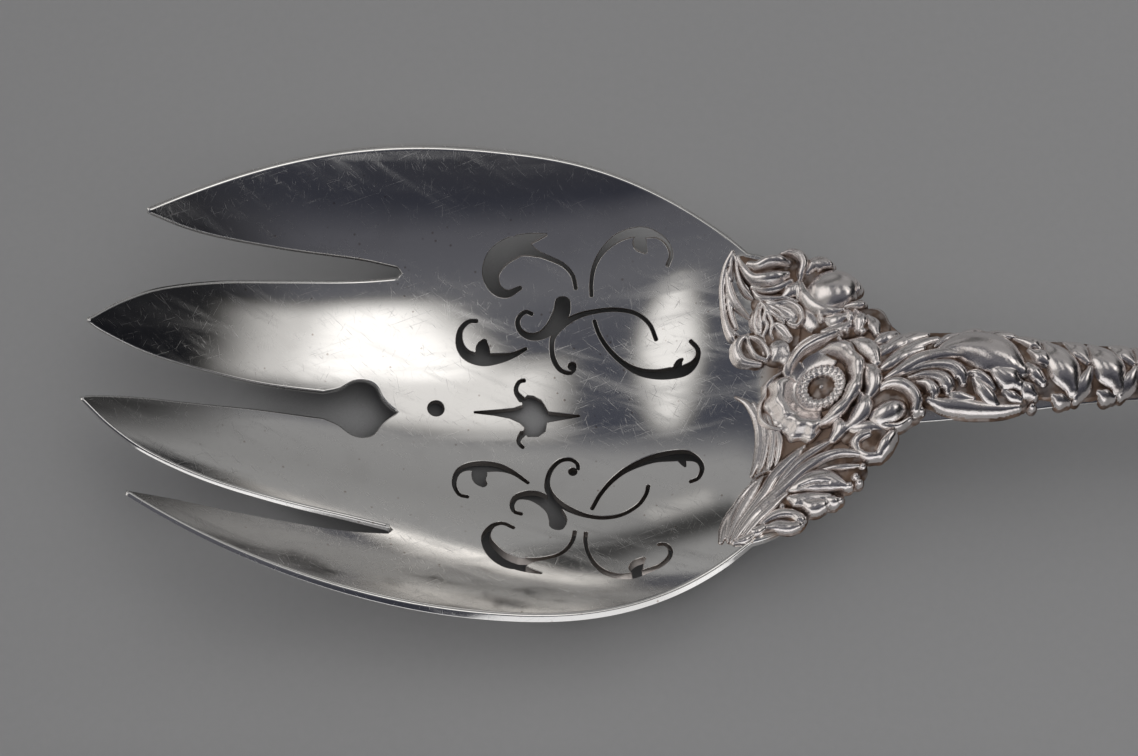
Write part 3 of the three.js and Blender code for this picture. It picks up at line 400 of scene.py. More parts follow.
# Chased work: each stroke is a line of [x, y, width, rise], a rounded ridge that a punch would raise.
STROKES = {
    "flower_petals": (
        # Crest round the stamens, rolled rim of the top petal, lip of the left petal
        ((31.7, 5, 0.6, 1.2), (33, 5.1, 1.2, 2.3), (34.5, 4.5, 1.6, 2.9), (35.4, 3.2, 1.3, 2.4),
         (36, 1.8, 1.6, 2.8), (36, 0.3, 1.3, 2.3), (35.6, -1.2, 1.6, 2.7), (34.8, -2.5, 1.3, 2.2),
         (33.6, -3.7, 1.5, 2.4), (32.2, -4.6, 1, 1.8), (31, -4.8, 0.5, 1.2)),
        ((27.9, 2.9, 0.7, 1.6), (28.3, 4, 1, 2.5), (29.3, 5.2, 1.2, 3.1), (30.8, 5.9, 1.3, 3.4),
         (32.3, 6.3, 1.3, 3.4), (33.6, 6.6, 1.1, 3), (34.3, 6.3, 0.6, 2)),
        ((27.1, 3.2, 0.4, 1.1), (26, 2.6, 0.5, 1.4), (25.1, 1.6, 0.5, 1.3), (25, 0.5, 0.5, 1.2),
         (24.4, -0.6, 0.5, 1.3), (24.3, -1.9, 0.5, 1.2), (24.6, -3, 0.5, 1.3), (25.5, -3.9, 0.5, 1.2),
         (26.8, -4.5, 0.4, 1)),
        # Lobes outside the crest
        ((35, 5.4, 0.8, 1.3), (36.5, 4.6, 1.8, 2.1), (37.7, 3.2, 1.9, 2), (38.3, 1.7, 1.1, 1.4)),
        ((36.9, 1.6, 0.9, 1.5), (37.7, 0.2, 1.8, 2), (37.8, -1.4, 1.7, 1.9), (37.2, -2.8, 0.9, 1.3)),
        ((36.4, -2.2, 0.9, 1.4), (36.7, -3.6, 1.8, 1.9), (35.9, -5, 1.7, 1.7), (34.6, -6, 0.9, 1.2)),
        ((33.6, -4.6, 0.9, 1.2), (33.9, -5.9, 1.5, 1.5), (33.1, -7.1, 0.9, 1)),
    ),
    "fluted_bud": (
        ((23, 18.2, 0.6, 0.8), (24.2, 17.8, 1, 1.5), (25.6, 18.1, 1.3, 2.1), (27, 18, 1.2, 2.1),
         (28.1, 17.8, 0.7, 1.4)),
        ((21.6, 19.2, 0.5, 0.5), (22.5, 17.6, 0.8, 0.9), (23.6, 16.3, 1.1, 1.5), (25.1, 15.9, 1.4, 2.1),
         (26.6, 16, 1.4, 2.1), (27.9, 16.3, 0.8, 1.4)),
        ((27.3, 19.1, 0.5, 1.1), (28.5, 19.2, 0.9, 1.6), (29.6, 18.6, 1.1, 1.9), (30, 17.6, 1.1, 1.8),
         (29.7, 16.4, 0.9, 1.5), (29.6, 15.6, 0.6, 1.1)),
        ((23.4, 15.3, 0.4, 0.6), (25, 14.8, 0.8, 0.9), (26.8, 14.9, 0.9, 1), (28.4, 15.5, 0.6, 0.9)),
        ((27.6, 13.6, 0.8, 0.9), (28.4, 14.2, 1.5, 1.2), (28.9, 14.8, 0.9, 1.1)),
        ((29.2, 15.2, 0.5, 1), (29.4, 14.2, 0.8, 1.3), (29.3, 13.1, 0.6, 1)),
    ),
    "leaf_fan": (
        ((25.2, 13.2, 0.8, 0.5), (27, 12, 2.4, 0.8), (28.4, 10.8, 2.6, 0.9), (28.6, 9.8, 1.4, 0.7)),
        ((24.9, 13.6, 0.4, 0.7), (26.3, 12.8, 0.5, 1), (27.9, 12.7, 0.55, 1.2), (29.3, 11.6, 0.65, 1.35),
         (29.7, 10.1, 0.65, 1.25), (29, 9.3, 0.5, 1.1), (28, 9.8, 0.4, 1)),
        ((25.4, 12.9, 0.35, 0.7), (26.8, 11.6, 0.45, 1.2), (27.8, 10.4, 0.4, 1.1)),
        ((25.2, 12.8, 0.35, 0.7), (26, 11.6, 0.5, 1.1), (27.1, 10.5, 0.5, 1.1), (27.5, 9.9, 0.3, 0.9)),
        ((26.6, 12.4, 0.35, 0.9), (28, 11.6, 0.4, 1.2), (28.9, 10.6, 0.4, 1.1)),
        ((26.4, 10.1, 0.5, 0.6), (27.3, 9, 1.2, 0.9), (28.3, 7.6, 0.5, 0.6)),
        ((26.5, 10.1, 0.35, 0.9), (27.4, 9.4, 0.45, 1.2), (28.4, 7.8, 0.35, 1)),
        ((26.3, 9.8, 0.35, 0.8), (27.1, 8.5, 0.45, 1.1), (28.1, 7.4, 0.35, 0.9)),
        ((24.3, 13, 0.6, 0.5), (24, 11, 1.2, 0.7), (24.3, 9.2, 0.9, 0.6)),
        ((24.3, 13, 0.35, 0.7), (24, 11.8, 0.45, 1), (23.8, 10.4, 0.5, 1), (24.2, 9.2, 0.45, 0.9),
         (24.7, 8.5, 0.3, 0.7)),
        ((24.6, 13.2, 0.35, 0.8), (25.2, 12.2, 0.5, 1.1), (25, 10.9, 0.55, 1.1), (25.4, 9.9, 0.5, 1),
         (24.9, 8.6, 0.45, 0.9), (25.1, 7.8, 0.3, 0.6)),
        ((25.2, 12.6, 0.35, 0.8), (25.6, 11.3, 0.5, 1.1), (26, 10.1, 0.5, 1.1), (25.8, 8.9, 0.45, 1),
         (26.1, 8, 0.3, 0.7)),
        ((24.6, 12.6, 0.3, 0.7), (24.5, 11.2, 0.4, 1), (24.6, 10, 0.4, 0.9), (24.5, 9, 0.3, 0.7)),
        ((23.6, 14.9, 0.4, 0.5), (24.4, 13.9, 0.7, 0.8), (26, 13.5, 0.6, 0.9), (27.8, 13.3, 0.5, 0.9),
         (29.2, 12.6, 0.4, 0.7)),
        ((25.4, 6.6, 1.6, 0.5), (26.6, 6.4, 2.4, 0.9), (27.6, 5.4, 1.6, 0.6)),
    ),
    "curled_leaf": (
        ((23, 9.2, 0.4, 0.6), (21.9, 8.5, 0.9, 1.1), (21.5, 7.3, 1.2, 1.3), (22, 6, 1.2, 1.3),
         (23, 5.4, 0.9, 1.1), (24.4, 5, 0.6, 0.8)),
        ((22.9, 8.9, 0.4, 0.8), (24, 8.4, 0.6, 1.2), (24.9, 7.5, 0.6, 1.2), (25.5, 6.1, 0.6, 1),
         (25.3, 5.4, 0.4, 0.8)),
        ((22.9, 8.7, 0.4, 0.9), (23.2, 7.4, 0.6, 1.3), (23.9, 6.1, 0.6, 1.2), (25, 5.5, 0.4, 0.9)),
    ),
    "shoulder_ribbon": (
        ((21, 20, 0.5, 0.4), (20.1, 18.3, 0.7, 0.4), (19.7, 16, 0.8, 0.4), (19.9, 13, 0.9, 0.45),
         (20.3, 10.8, 1.1, 0.7), (20.9, 9.2, 1.2, 0.8), (21.3, 8.5, 0.5, 0.5)),
        ((21.1, 19.6, 0.5, 0.4), (20.6, 17.6, 0.6, 0.45), (20.5, 15, 0.8, 0.45), (20.9, 12.2, 0.8, 0.5),
         (21.5, 10.4, 0.6, 0.4)),
        ((20.9, 19.4, 0.5, 0.4), (20.8, 18, 0.6, 0.5), (20.9, 16.6, 0.5, 0.4)),
        ((20.3, 17.6, 0.6, 0.4), (20.6, 15.6, 1.1, 0.7), (21.2, 13.9, 1.2, 0.8), (22.1, 12.6, 1, 0.7),
         (23.2, 11.4, 0.4, 0.5)),
        ((21.4, 19.3, 0.5, 0.5), (21.6, 17.5, 0.7, 0.7), (22.1, 15.8, 0.8, 0.9), (22.8, 14.6, 0.9, 0.9),
         (23.6, 13.8, 0.4, 0.6)),
        ((21.7, 19.3, 0.5, 0.5), (22.2, 18, 0.7, 0.8), (22.9, 16.6, 0.7, 0.8), (23.8, 15.4, 0.7, 0.7),
         (24.6, 14.8, 0.3, 0.5)),
        ((20.4, 11, 0.4, 0.3), (21.2, 9.9, 0.6, 0.5), (21.8, 9.3, 0.4, 0.4)),
    ),
    "upper_bud_calyx": (
        ((29.7, 14.9, 0.7, 1), (30, 13.4, 1.3, 1.6), (30.9, 12, 1.6, 1.8), (32.1, 11, 1.6, 1.8),
         (33.4, 10.4, 1.2, 1.5), (34.6, 10.4, 0.6, 1)),
        ((30.5, 16.6, 0.8, 1), (31.3, 17.4, 1.5, 1.5), (32.4, 17.5, 1.6, 1.6), (33.3, 17.2, 1, 1.5)),
        ((35.7, 15.2, 0.4, 1), (36.3, 14.2, 0.8, 1.6), (36.6, 13.1, 1, 1.7), (36.2, 12.4, 0.6, 1.3)),
        ((35, 10.8, 0.5, 1), (36, 10.8, 0.9, 1.3), (36.9, 10.7, 1, 1.3)),
        ((29.9, 12, 0.6, 0.6), (30.4, 10.6, 1.6, 0.9), (31.2, 9.2, 1.6, 0.8), (32, 8.4, 0.7, 0.6)),
        ((30.9, 11.8, 0.4, 1.1), (31.7, 10.5, 0.6, 1.5), (32.1, 9.3, 0.6, 1.2)),
        ((32.4, 9.6, 0.8, 0.9), (33.6, 9.1, 1.6, 1.4), (34.8, 9.3, 1, 1.2)),
        ((32.2, 7.9, 0.8, 0.7), (33.8, 7.6, 1.6, 1.2), (35.2, 8, 1, 1.2)),
        ((35.1, 10.1, 0.5, 1.1), (35.5, 9.2, 0.9, 1.5), (35.4, 8.4, 0.6, 1.1)),
        ((36.2, 9.8, 0.7, 0.9), (36.6, 8.5, 1.4, 1.5), (36.5, 7.1, 0.9, 1.1)),
        ((37.6, 8.8, 0.6, 0.7), (38.3, 7.5, 1.2, 0.9), (38.6, 6.1, 0.7, 0.7)),
        ((36.8, 9.7, 0.8, 0.3), (38.2, 8.6, 2.2, 0.4), (39.4, 7.2, 1.4, 0.3)),
    ),
    "lower_stem_short": (
        ((24.6, -10.5, 0.5, 0.5), (23.6, -11.7, 1.7, 0.8), (22.3, -13.6, 2.3, 0.9), (21, -16, 2.1, 0.8),
         (20.2, -18.4, 1.2, 0.6), (20.1, -19.5, 0.4, 0.4)),
        ((23.2, -11, 0.3, 0.4), (23.9, -10.3, 0.5, 0.6), (25, -9.9, 0.5, 0.7), (26.2, -10.1, 0.4, 0.6)),
        ((22.6, -12.8, 0.6, 0.4), (20.9, -14.8, 1.2, 0.5), (19.7, -17.2, 1.3, 0.5), (19.2, -19.4, 0.7, 0.3)),
        ((21.4, 1.2, 0.4, 0.12), (22.8, 0, 0.8, 0.25), (23.9, -2.2, 1.1, 0.4), (24.25, -5, 1.1, 0.45),
         (23.9, -8, 1, 0.42), (23.2, -10.2, 0.5, 0.3)),
        ((23.6, 0, 0.5, 0.25), (24.7, -2.4, 1.1, 0.5), (25.05, -5.2, 1.1, 0.55), (24.6, -8.2, 1, 0.5),
         (24, -9.9, 0.5, 0.3)),
        ((24.6, -0.6, 0.5, 0.3), (25.5, -2.8, 1.1, 0.6), (25.9, -5.5, 1.1, 0.7), (25.5, -8.7, 1, 0.6),
         (25, -10, 0.5, 0.3)),
        ((26.2, -3.4, 0.5, 0.4), (26.7, -5.6, 1, 0.7), (26.6, -7.4, 1, 0.6), (26.2, -9.2, 0.5, 0.3)),
    ),
    "lower_stem_middle": (
        ((29.6, -7.3, 0.7, 0.7), (28.8, -8.1, 1.5, 1.1), (27.4, -9.3, 1.8, 1.2), (25.9, -10.8, 1.8, 1.1),
         (24.7, -12.8, 1.8, 1), (22.8, -15.4, 1.6, 0.9), (21.3, -17.6, 1.3, 0.8), (20.5, -19.5, 0.7, 0.6)),
        ((32.6, -7.3, 0.8, 0.8), (30.9, -8.1, 1.5, 1.2), (29.1, -9.2, 1.5, 1.3), (27.4, -10.8, 1.4, 1.2),
         (26.2, -12.4, 1.1, 1.1), (25.4, -13.6, 0.6, 0.8)),
    ),
    "lower_stem_long": (
        ((36.2, -9.6, 0.8, 1), (35, -9.2, 1.3, 1.3), (33.4, -9, 1.6, 1.5), (31.4, -9.4, 1.9, 1.5),
         (29.3, -10.5, 2.1, 1.5), (27.4, -12.1, 2.1, 1.4), (25.3, -13.9, 2, 1.3), (23.4, -15.7, 1.8, 1.1),
         (21.9, -17.7, 1.5, 1), (21, -19.2, 0.8, 0.7)),
        ((31.4, -10.8, 0.5, 0.8), (33, -10.8, 1.1, 1.2), (34.6, -10.9, 1.2, 1.2), (36, -11, 0.8, 1)),
        ((27.4, -13.4, 0.7, 0.9), (25.8, -14.8, 1.5, 1.1), (24.2, -16.3, 1.5, 1), (22.8, -18, 1.2, 0.9),
         (21.8, -19.3, 0.7, 0.6)),
    ),
    "lower_leaf": (
        ((27.6, -12.9, 0.6, 0.8), (28.8, -12.6, 1.7, 1.4), (30.4, -12.2, 2.2, 1.8), (32, -12.3, 2.2, 1.8),
         (33.5, -12.9, 1.6, 1.5), (34.5, -13.3, 0.8, 1.2)),
    ),
    "lower_leaf_tip": (
        ((27.6, -14, 0.6, 0.8), (28.6, -14.4, 1.5, 1.3), (29.4, -14.9, 1, 1.1)),
        ((29.2, -14.6, 0.6, 1), (30.4, -15.4, 1.6, 1.5), (31.6, -15.3, 1.3, 1.4), (32.2, -14.8, 0.5, 1)),
        ((32, -14.6, 0.6, 1), (33, -15, 1.2, 1.4), (33.8, -14.9, 0.7, 1)),
        ((27.8, -13.9, 0.6, 0.9), (30, -14.2, 1.2, 1.2), (32.4, -14.4, 0.9, 1.1)),
        ((22.7, -18, 0.6, 0.7), (23.5, -18.2, 1.1, 1), (24.4, -17.8, 0.8, 0.9)),
        ((24.2, -17.3, 0.5, 0.7), (25.2, -16.5, 0.9, 1), (26.5, -16, 1.1, 1.2), (28, -16.2, 1, 1.2),
         (29, -17, 1.1, 1.2), (29.1, -17.6, 0.6, 0.9)),
        ((24.8, -17.8, 0.6, 0.7), (26.2, -17.6, 1.2, 0.9), (27.6, -17.9, 1.2, 1.1), (28.6, -17.8, 0.9, 1.1)),
        ((20.8, -19.7, 0.5, 0.5), (22, -19.3, 0.9, 0.8), (23, -18.8, 0.6, 0.7)),
    ),
    "cup_bud": (
        ((38.2, -1.9, 0.6, 0.9), (39.5, -1.4, 1, 1.7), (41, -1.6, 1.2, 2.2), (42.2, -2.4, 1.2, 2.3),
         (43, -3.7, 1.2, 2.2), (42.9, -4.9, 1, 1.8)),
        ((38, -5.9, 0.5, 0.8), (39.2, -6.6, 0.7, 1.2), (40.8, -6.6, 0.7, 1.2), (42.2, -5.8, 0.6, 1.2)),
        ((37.2, 0.9, 0.4, 0.6), (37.9, -0.3, 0.7, 1.1), (37.9, -1.6, 0.7, 1.1), (37.5, -2.9, 0.5, 0.8)),
    ),
    "cup_flower": (
        ((36, -9.2, 0.7, 1), (35.7, -8, 1, 1.4), (36.3, -7.4, 1, 1.4), (37.2, -7.2, 0.8, 1.2)),
        ((36.1, -9.2, 0.7, 1), (37, -9.9, 0.9, 1.2), (38.4, -10, 0.8, 1.2)),
        ((38.6, -9.9, 1, 1.3), (39.3, -8.8, 1.4, 1.8), (40.1, -7.8, 1.1, 1.6)),
        ((34.6, -5.8, 0.5, 0.8), (36, -6.2, 1.2, 1.2), (37.6, -6.3, 1.1, 1.1), (38.8, -6.8, 0.5, 0.7)),
    ),
    "neck_leaf": (
        ((39.2, -0.7, 0.6, 1), (41, 0.1, 1.2, 1.6), (43.3, 1.3, 1.6, 2.1), (46.1, 1.8, 1.5, 2.3),
         (48.6, 1.5, 1, 2.1)),
        ((40.6, -0.7, 0.5, 1), (42.8, 0.2, 0.9, 1.6), (45, 0.5, 1.2, 2), (47.2, 0.2, 1.5, 2.2),
         (48.4, -0.9, 1.6, 2), (48.7, -1.9, 0.8, 1.4)),
        ((42.2, -0.8, 0.5, 1), (44.2, -0.6, 1, 1.6), (46, -1.1, 1.4, 1.9), (46.8, -2.2, 1.5, 1.8),
         (46.8, -3, 0.7, 1.3)),
        ((43.2, -1.4, 0.5, 0.9), (44.4, -1.8, 1.1, 1.5), (45.1, -2.8, 1.3, 1.6), (45, -3.6, 0.6, 1.1)),
        ((45.6, 2.2, 1, 1.6), (48, 2.7, 2.8, 2.4), (50.4, 2.6, 3.8, 2.7), (52.6, 1.7, 4.2, 2.7),
         (54.4, 0.4, 3.2, 2.4), (55.8, -0.6, 1.6, 1.8)),
        ((51.8, -0.2, 0.8, 1.6), (53, -0.9, 1.8, 2.1), (54.4, -1.7, 2.2, 2.2), (55.4, -2.3, 1.2, 1.6)),
        ((50, -1.4, 0.6, 1.1), (50.9, -2.6, 1.3, 1.6), (52, -3.9, 1.4, 1.6), (52.8, -4.6, 0.8, 1.1)),
        ((55.6, -2, 0.7, 1.2), (56.5, -2.9, 1.5, 1.5), (57.3, -3.5, 0.9, 1.2)),
        ((48.6, 5, 0.6, 0.9), (50.5, 5.2, 1.3, 1.4), (51.8, 5, 0.8, 1.1)),
        ((51.7, 5, 0.6, 0.9), (53.1, 4.9, 1.2, 1.3), (54.9, 4.6, 1.1, 1.3), (55.6, 4.3, 0.6, 1)),
        ((55.4, 4.2, 0.6, 1), (56.6, 3.8, 1.2, 1.4), (57.6, 3.2, 1.5, 1.7), (58.2, 2.6, 0.8, 1.2)),
        ((57, 2.2, 0.7, 1.2), (58.3, 1.2, 1.8, 1.8), (59.4, 0.2, 1, 1.3)),
        ((39, 1.2, 0.6, 0.9), (41.4, 2.6, 1.3, 1.4), (43.8, 3.8, 1.3, 1.5), (45.8, 4.4, 0.8, 1.2)),
        ((38.8, 2.8, 0.7, 0.9), (40.6, 4, 1.5, 1.3), (42.8, 5, 1.5, 1.4), (44.6, 5.3, 0.8, 1)),
        ((38, 4.4, 0.6, 0.7), (39.4, 5.2, 1.3, 1.1), (40.8, 5.7, 0.8, 0.9)),
        ((38.6, 0.6, 0.6, 0.9), (40, 1.4, 1.3, 1.4), (42, 2.4, 1.2, 1.5), (44, 3, 0.7, 1.2)),
        ((37.6, 2.8, 0.6, 0.7), (38.4, 3.4, 0.9, 1), (39.4, 3.9, 0.7, 0.9)),
        ((45.6, 3.4, 0.5, 1), (47, 4.4, 0.9, 1.4), (48.4, 5, 0.7, 1.1)),
        ((49.4, -0.6, 0.6, 1.2), (50.4, -0.9, 1, 1.7), (51.6, -1.8, 1, 1.6), (52.4, -2.8, 0.6, 1.2)),
        ((53.6, -3, 0.6, 1), (54.6, -3.6, 1.1, 1.3), (55.6, -4, 0.7, 1)),
        ((56.6, 0.2, 0.7, 1.2), (57.4, -0.9, 1.4, 1.7), (58.4, -2, 0.9, 1.3)),
    ),
    "neck_side_leaf": (
        ((44.5, -3.6, 0.7, 0.9), (46.4, -4.3, 1.3, 1.2), (48.6, -4.6, 1.5, 1.3), (50.6, -4.9, 1.3, 1.2),
         (53.4, -5, 1, 1), (55.5, -4.8, 0.6, 0.8)),
        ((46.8, -3, 0.6, 0.9), (48.2, -3.5, 1.2, 1.3), (49.8, -3.9, 0.8, 1)),
    ),
}
# Round beads on the tips of leaves and sepals: x, y, radius, rise.
BEADS = {
    "lower_leaf": (
        (34.9, -13.3, 0.6, 1.3), (35.7, -12.3, 0.6, 1.3), (36.1, -13, 0.55, 1.2), (36.5, -11.1, 0.5, 1),
    ),
    "lower_leaf_tip": ((26.8, -15, 0.5, 1),),
    "upper_bud_calyx": ((33.2, 17.4, 0.5, 1.7), (34.9, 7.2, 0.6, 1.1), (36.9, 6.7, 0.6, 1)),
    "cup_bud": ((43.6, -4.9, 0.55, 1.3),),
    "cup_flower": ((36.3, -7, 0.45, 1.2), (35.8, -7.6, 0.4, 1.1)),
    "neck_leaf": ((57.2, -4.7, 0.5, 0.8),),
}
# Lines cut into the castings: each is a line of [x, y, width, depth].
GROOVES = {
    "lower_leaf": (
        ((28, -13.6, 0.35, 0.5), (29.6, -13.5, 0.35, 0.6), (31.1, -14, 0.35, 0.6), (32.4, -14, 0.35, 0.5),
         (34, -13.8, 0.3, 0.4)),
        ((29, -12.9, 0.4, 0.25), (30.6, -12.6, 0.4, 0.35), (32.4, -12.8, 0.4, 0.25)),
    ),
    "lower_stem_short": (
        ((23.6, -11.4, 0.35, 0.3), (22.1, -13.2, 0.35, 0.4), (20.8, -15.8, 0.35, 0.4),
         (20.1, -18.6, 0.3, 0.2)),
    ),
}
# Leaves and stems of the shoulder that are made of strokes alone.
SHOULDER_LEAVES = (
    "fluted_bud", "leaf_fan", "curled_leaf", "shoulder_ribbon", "lower_leaf", "lower_leaf_tip",
    "lower_stem_long", "lower_stem_middle", "lower_stem_short",
)
# Stems that lie flat and close together: their strokes are narrower.
RIBBONS = ("lower_stem_long", "lower_stem_middle", "lower_stem_short", "shoulder_ribbon")
RIBBON_FULLNESS = 0.92
# How the reliefs are made, in millimetres: points per stretch of a smooth line, fewest steps along it and
# their spacing, slope of the flanks, depth outside a form, softness of the valleys, how far edges sink, least
# squared slope that moves an edge, and room round strokes and grooves.
CURVE_POINTS = 24
LEAST_STEPS = 6
LINE_STEP = 0.08
FLANK = 1.6
OUTSIDE_DEPTH = 1.0
VALLEY_SOFTNESS = 0.07
SINK = 0.3
LEAST_SLOPE = 0.2
PLAN_MARGIN = 1.6
GROOVE_ROOM = 1.0
# Sections: a ridge is round, a pad is flat with round edges.
RIDGE_POWER = 0.5
PAD_POWER = 0.2
# Tarnish stays in hollows that are this deep within this window, and this near the ground.
RECESS_WINDOW = 0.45
RECESS_DEPTH = 0.28
LOW_GROUND = 0.35
# Points that are compared at once, to save memory.
BATCH = 2000
# Sharp edges of pieces are those with a larger angle.
SMOOTH_ANGLE = math.radians(60)
# The open flower: its middle and the room round its petals; then a petal's height at the stamens and at the
# rim as shares of the rise, drop and waves of the rim, depth of the flutes, and height left at the sides.
FLOWER = (31.8, 0.2)
PETAL_ROOM = 1
PETAL_START = 0.12
PETAL_END = 0.4
RIM_DROP = 0.14
RIM_WAVE = 0.2
FLUTE_DEPTH = 0.055
PETAL_SIDE = 0.45
# The flower's middle: rings of small beads (count, reach, radius, rise) on a low ring, round a brown eye.
STAMEN_RINGS = ((24, 2.68, 0.34, 1.35), (20, 2.12, 0.3, 1.15), (16, 1.68, 0.24, 0.95))
STAMEN_FLOOR = (2.3, 1.5, 0.95)
STAMEN_FLOOR_POINTS = 24
STAMEN_ROOM = 4.2
EYE = (1.66, 0.75)
EYE_BOSS = (0.36, 1.1)
EYE_ROOM = 2.6
# Domes of the bud and of the two cups: x, y, long and short radius, turn, rise, and the last one's dish.
UPPER_BUD = (33.5, 13.4, 3.4, 3.1, 0.1, 2.9)
UPPER_BUD_ROOM = 4.5
CUP_BUD = (39.6, -5, 2.5, 1.6, 0.3, 2.1)
CUP_FLOWER = (38, -8.6, 1.9, 1.5, 0.4, 0.5, 0.25)
DISH_REACH = 0.62
# Petals of the open flower: middle angle and half spread in degrees, inner and outer radius, rise, flutes,
# and where between the radii the petal is highest.
PETALS = (
    (96, 38, 3, 6.8, 2.3, 1, 0.95),
    (138, 16, 3, 5.8, 1.9, 1, 0.9),
    (190, 38, 2.8, 6.8, 2.3, 3, 0.62),
    (-121, 30, 2.9, 6.8, 1.9, 3, 0.6),
)
# Leaves wound along the handle. Their rows are [along, across as a share of the half width, width, rise].
WOUND_LEAVES = 5
WOUND_LEAF_START = 58.6
WOUND_LEAF_PITCH = 5.6
WOUND_LEAF_ROOM = (-2.2, 7.0, 1.0)
WOUND_LOBES = (
    ((0.5, 0.75, 1, 1.1), (1.5, 0.35, 2.5, 1.8), (2.7, -0.2, 2.8, 2.1), (3.5, -0.65, 1.4, 1.5)),
    ((3, 0.8, 0.7, 0.9), (4.2, 0.55, 2.1, 1.4), (5.4, 0.15, 0.9, 1.1)),
    ((3.9, -0.9, 0.6, 0.9), (4.7, -0.55, 1.7, 1.5), (5.6, -0.1, 0.8, 1.4)),
    ((1.1, -0.8, 0.5, 0.8), (2, -0.9, 1.2, 1.1), (3, -0.95, 0.5, 0.8)),
)
# Ground under each wound leaf: [along, width as a share of the half width, rise].
WOUND_GROUND = ((-0.4, 1.7, 0.5), (2.6, 1.8, 0.6), (5.4, 1.7, 0.5))
# Ornament at the handle's end: the blossom's place from the end, its petals (half spread, inner and outer
# radius, rise, flutes, crest) and its eye (radius, rise), then the leaves, as [back from the blossom, across,
# width, rise].
END_FLOWER_INSET = 15.0
END_FLOWER_ROOM = 7.0
END_PETALS = 8
END_PETAL = (24, 1.6, 6, 1.5, 2, 0.6)
END_EYE = (1.7, 1.2)
END_LEAF = (
    ((6, 1.6, 0.8, 0.9), (15, 3.4, 3.2, 1.3), (28, 1.6, 0.5, 0.7)),
    ((7, 3.4, 0.5, 0.8), (12, 5.2, 1.3, 1.1), (18, 5, 0.6, 0.8)),
)
END_LEAF_ROOM = (30, 4, 8)
# The room's light from front to back: y of the direction and colour there.
ROOM = (
    (-1.0, (0.034, 0.034, 0.039)),
    (-0.84, (0.028, 0.03, 0.041)),
    (-0.73, (0.085, 0.086, 0.1)),
    (-0.55, (0.098, 0.1, 0.115)),
    (-0.35, (0.115, 0.117, 0.131)),
    (0.0, (0.066, 0.069, 0.085)),
    (0.42, (0.045, 0.049, 0.066)),
    (0.53, (0.27, 0.27, 0.272)),
    (0.8, (0.24, 0.24, 0.24)),
    (1.0, (0.3, 0.3, 0.3)),
)
# Panels of light: each edge (a, b, limit) keeps the directions with a*x + b*y > limit; then the edges'
# softness and the strength.
PANELS = (
    # Broad panel overhead with its brighter core, and its corner towards the back
    (((0.91, 0.42, 0.12), (-1, 0, -0.5), (0, 1, -0.36), (0, -1, -0.2)), 0.09, 1.25),
    (((0.91, 0.42, 0.12), (-1, 0, -0.62), (0, 1, -0.36), (0, -1, -0.22)), 0.09, 0.6),
    (((1, 0, -0.1), (-1, 0, -0.34), (0, 1, 0.1), (0, -1, -0.45)), 0.08, 0.75),
    # Smaller panel on the left
    (((-0.97, 0.25, 0.325), (-0.97, -0.2, 0.29), (0.94, -0.35, -0.57), (0.98, 0.2, -0.515), (0, 1, -0.3),
      (0, -1, -0.42)), 0.06, 0.9),
    # Low light from the left, and a streak behind on the left
    (((-1, 0, 0.76), (0, 1, -0.6)), 0.05, 0.28),
    (((-1, 0, 0.74), (0, 1, -0.2), (0, -1, -0.42)), 0.05, 0.9),
    (((-0.43, 0.9, 0.77), (0.43, -0.9, -0.84), (-1, 0, 0.26), (1, 0, -0.5)), 0.03, 0.42),
)
# A dark beam behind on the left, written like a panel.
DARK_BEAM = (((-0.43, 0.9, 0.845), (0.43, -0.9, -0.925), (-1, 0, -0.1)), 0.03, 0.85)
# Hair scratches: direction, length and width in metres.
SCRATCHES = (
    (0.45, 0.006, 0.00013),
    (-0.7, 0.004, 0.00012),
    (1.9, 0.003, 0.00013),
    (2.6, 0.0025, 0.00014),
    (1.2, 0.003, 0.00012),
)
SCRATCH_TILT = (0.3, 0.2)
# Dull streaks that wiping leaves: direction, length and width in metres.
WIPES = (
    (0.1, 0.026, 0.0021),
    (-0.35, 0.014, 0.0016),
)
SCRATCH_DETAIL = 2.0
WIPE_DETAIL = 5.0
# The other patterns: waves or spots to the metre, and how many finer waves lie on them.
HAZE = (160.0, 4.0)
WAVE = (70.0, 1.0)
PIT_SCALE = 750.0
PIT_PATCH = (260.0, 2.0)
GRAIN = (2600.0, 3.0)
BLOTCH = (420.0, 3.0)
WORN = (600.0, 2.0)
TOOTH = (900.0, 3.0)
# Values of a pattern between which it sets in; two more numbers say how strong it is at either end.
SCRATCH_ONSET = (0.66, 0.74)
WIPE_ONSET = (0.48, 0.74)
PIT_ONSET = (0.16, 0.06)
PIT_PATCH_ONSET = (0.52, 0.62)
STAIN_ONSET = (0.5, 0.72)
RECESS_ONSET = (0.6, 0.1)
TARNISH_ONSET = (0.45, 0.95)
BLOTCH_ONSET = (0.52, 0.78, 0, 0.3)
WORN_ONSET = (0.66, 0.42, 0.7, 1.0)
BROWN_ONSET = (0.38, 0.62)
# The floor's painted shadow fades out between these values of its openness.
PAINTED_SHADOW_ONSET = (0.5, 0.97)
# How much they add to the colour, to the roughness and to the height of the relief.
STAIN_COLOUR = 0.25
PIT_COLOUR = 0.6
TARNISH_COLOUR = 0.95
HAZE_ROUGHNESS = 0.05
SCRATCH_ROUGHNESS = 0.16
WIPE_ROUGHNESS = 0.12
TARNISH_ROUGHNESS = 0.4
RECESS_ROUGHNESS = 0.3
SCRATCH_DEPTH = 0.02
PIT_DEPTH = 0.06
GRAIN_DEPTH = 0.4
# Roughness of the floor and brightness of its tooth, and rays that look for near walls on the castings and on
# the floor, where they paint the shadow under the fork.
FLOOR_ROUGHNESS = 0.75
TOOTH_SHADE = 0.94
RECESS_SAMPLES = 6
COVER_SAMPLES = 8
